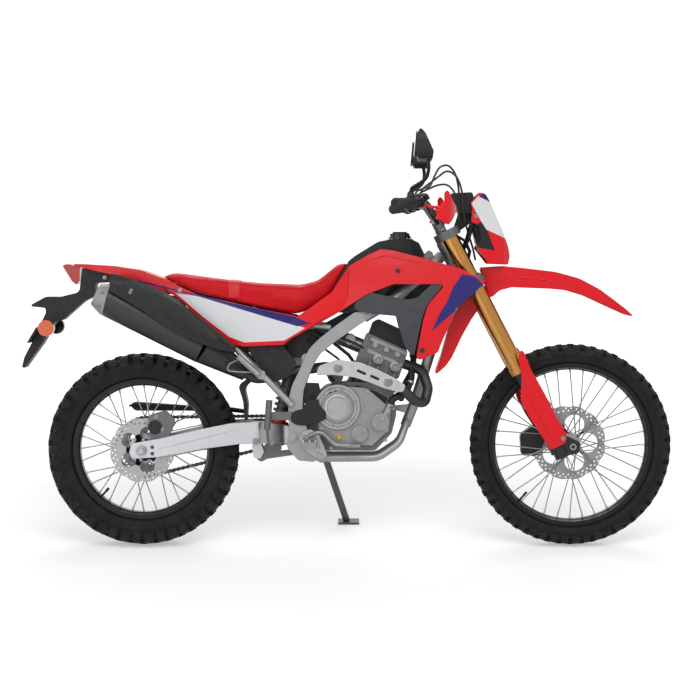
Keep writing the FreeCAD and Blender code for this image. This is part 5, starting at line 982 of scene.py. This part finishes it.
def foot_area():
    """Heel plates with their bolts, and the pegs' teeth."""
    shape = Shape()
    inner, outer, peg_top = 120.6, 124.0, 364.0
    for side in BOTH:
        shape.slab([(532, 372), (545, 396), (572, 402), (598, 388), (616, 350), (628, 316), (612, 300),
                    (590, 304), (548, 334)], side * inner, side * outer, 1.5)
        for x, z, size in ((602, 314, 10.0), (556, 378, 8.0), (586, 376, 5.0), (604, 340, 5.0)):
            shape.bolt((x, side * outer, z), (0, side, 0), size)
        for i in range(4):
            for x, out in ((551, 150.0), (591, 150.0), (571, 157.0)):
                shape.lathe([(-1.0, 4.2), (6.0, 3.0), (7.0, 1.8)], (x, side * (out + 15.0 * i), peg_top),
                            (0, 0, 1), 6)
    shape.finish("foot_fittings", "chassis", "machined")


def linkage_nuts():
    """Bolts on washers, on the swingarm and the header's shield."""
    shape = Shape()
    for name, x, z, radius in (("swingarm", 388, 360, 7.0), ("header_shield", 665, 608, 9.5),
                               ("header_shield", 833, 561, 9.5), ("swingarm", 440, 352, 5.0)):
        spot, _ = on_side(name, x, z)
        shape.lathe([(-2, 1.7 * radius), (1.2, 1.7 * radius), (1.8, 1.6 * radius), (1.8, 0.4 * radius)], spot,
                    RIGHT, 28)
        shape.bolt(spot + Vector((0, -1.6, 0)), RIGHT, radius)
    shape.finish("linkage_nuts", "chassis", "steel")


def radiator_fins():
    """The radiator's core, finned between its two side tanks."""
    shape = Shape()
    fins, inner, outer = 24, 66.0, 131.5
    for i in range(fins):
        t = (i + 0.5) / fins
        x, z = 928 + 50 * t, 660 + 168 * t
        shape.slab([(x - 13, z + 5), (x + 13, z - 2.6), (x + 13.6, z - 1.0), (x - 12.4, z + 6.6)],
                   inner, outer, 0.4)
    shape.finish("radiator_fins", "chassis", "core")


def inner_shade_panels():
    """Dark inner walls that close the view between the tank, the seat's base and the frame: black sheets that
    stand partly for dark parts behind and partly for painted shade in the gaps.
    """
    shape = Shape()
    for side in BOTH:
        shape.slab([(800, 832), (986, 832), (986, 900), (800, 900)], side * 46.0, side * 51.0, 2.0)
        shape.slab([(488, 640), (560, 640), (600, 670), (640, 715), (700, 760), (760, 800), (740, 812),
                    (700, 800), (640, 768), (582, 736), (520, 722), (488, 705)],
                   side * 40.0, side * 44.0, 2.0)
        for x, z in ((540, 690), (610, 724), (690, 784)):
            shape.slab([(x, z), (x + 26, z + 10), (x + 30, z + 2), (x + 4, z - 8)],
                       side * 43.0, side * 47.0, 1.0)
    shape.finish("inner_shade_panels", "chassis", "black")


def caliper_details():
    """The piston boss and bolts of the rear caliper."""
    shape = Shape()
    spot, _ = on_side("rear_brake", 45, 406)
    shape.lathe([(-2, 24), (5, 23), (7, 21), (7, 15), (5, 13.5), (5, 8)], spot, RIGHT, 32)
    for x, z in ((70, 398), (20, 420), (50, 440)):
        shape.bolt(Vector((x, spot.y, z)), RIGHT, 6.0, 1)
    shape.finish("caliper_details", "chassis", "cast_black", "steel")


def tank_fittings():
    """The fuel cap's ribs and handle, and the ring of bolts round it."""
    shape = Shape()
    for across, y in ring_of((0.0, 0.0), 31.5, 18):
        shape.tube([(873.6 + across, y, 1051.0), (873.4 + across, y, 1060.0)], 2.2, 6)
    shape.slab([(848, 1061), (899, 1061), (896, 1067), (851, 1067)], -7.0, 7.0, 2.0)
    for x, y in ring_of((873, 0), 43.0, 5, 0.3):
        spot, normal = struck("tank", (x, y, 1200.0), (0, 0, -1))
        shape.bolt(spot, normal, 3.6, 1)
    shape.finish("cap_fittings", "chassis", "gloss_black", "steel")


camera()
studio()
made = finishes()
dress_nodes()
wheels()
seat()
fasteners()
controls()
mirror_glass()
muffler_cover()
shroud_tails()
moulded_lines()
front_housing()
head_casting()
engine_dressing()
foot_area()
radiator_fins()
tank_fittings()
inner_shade_panels()
caliper_details()
linkage_nuts()
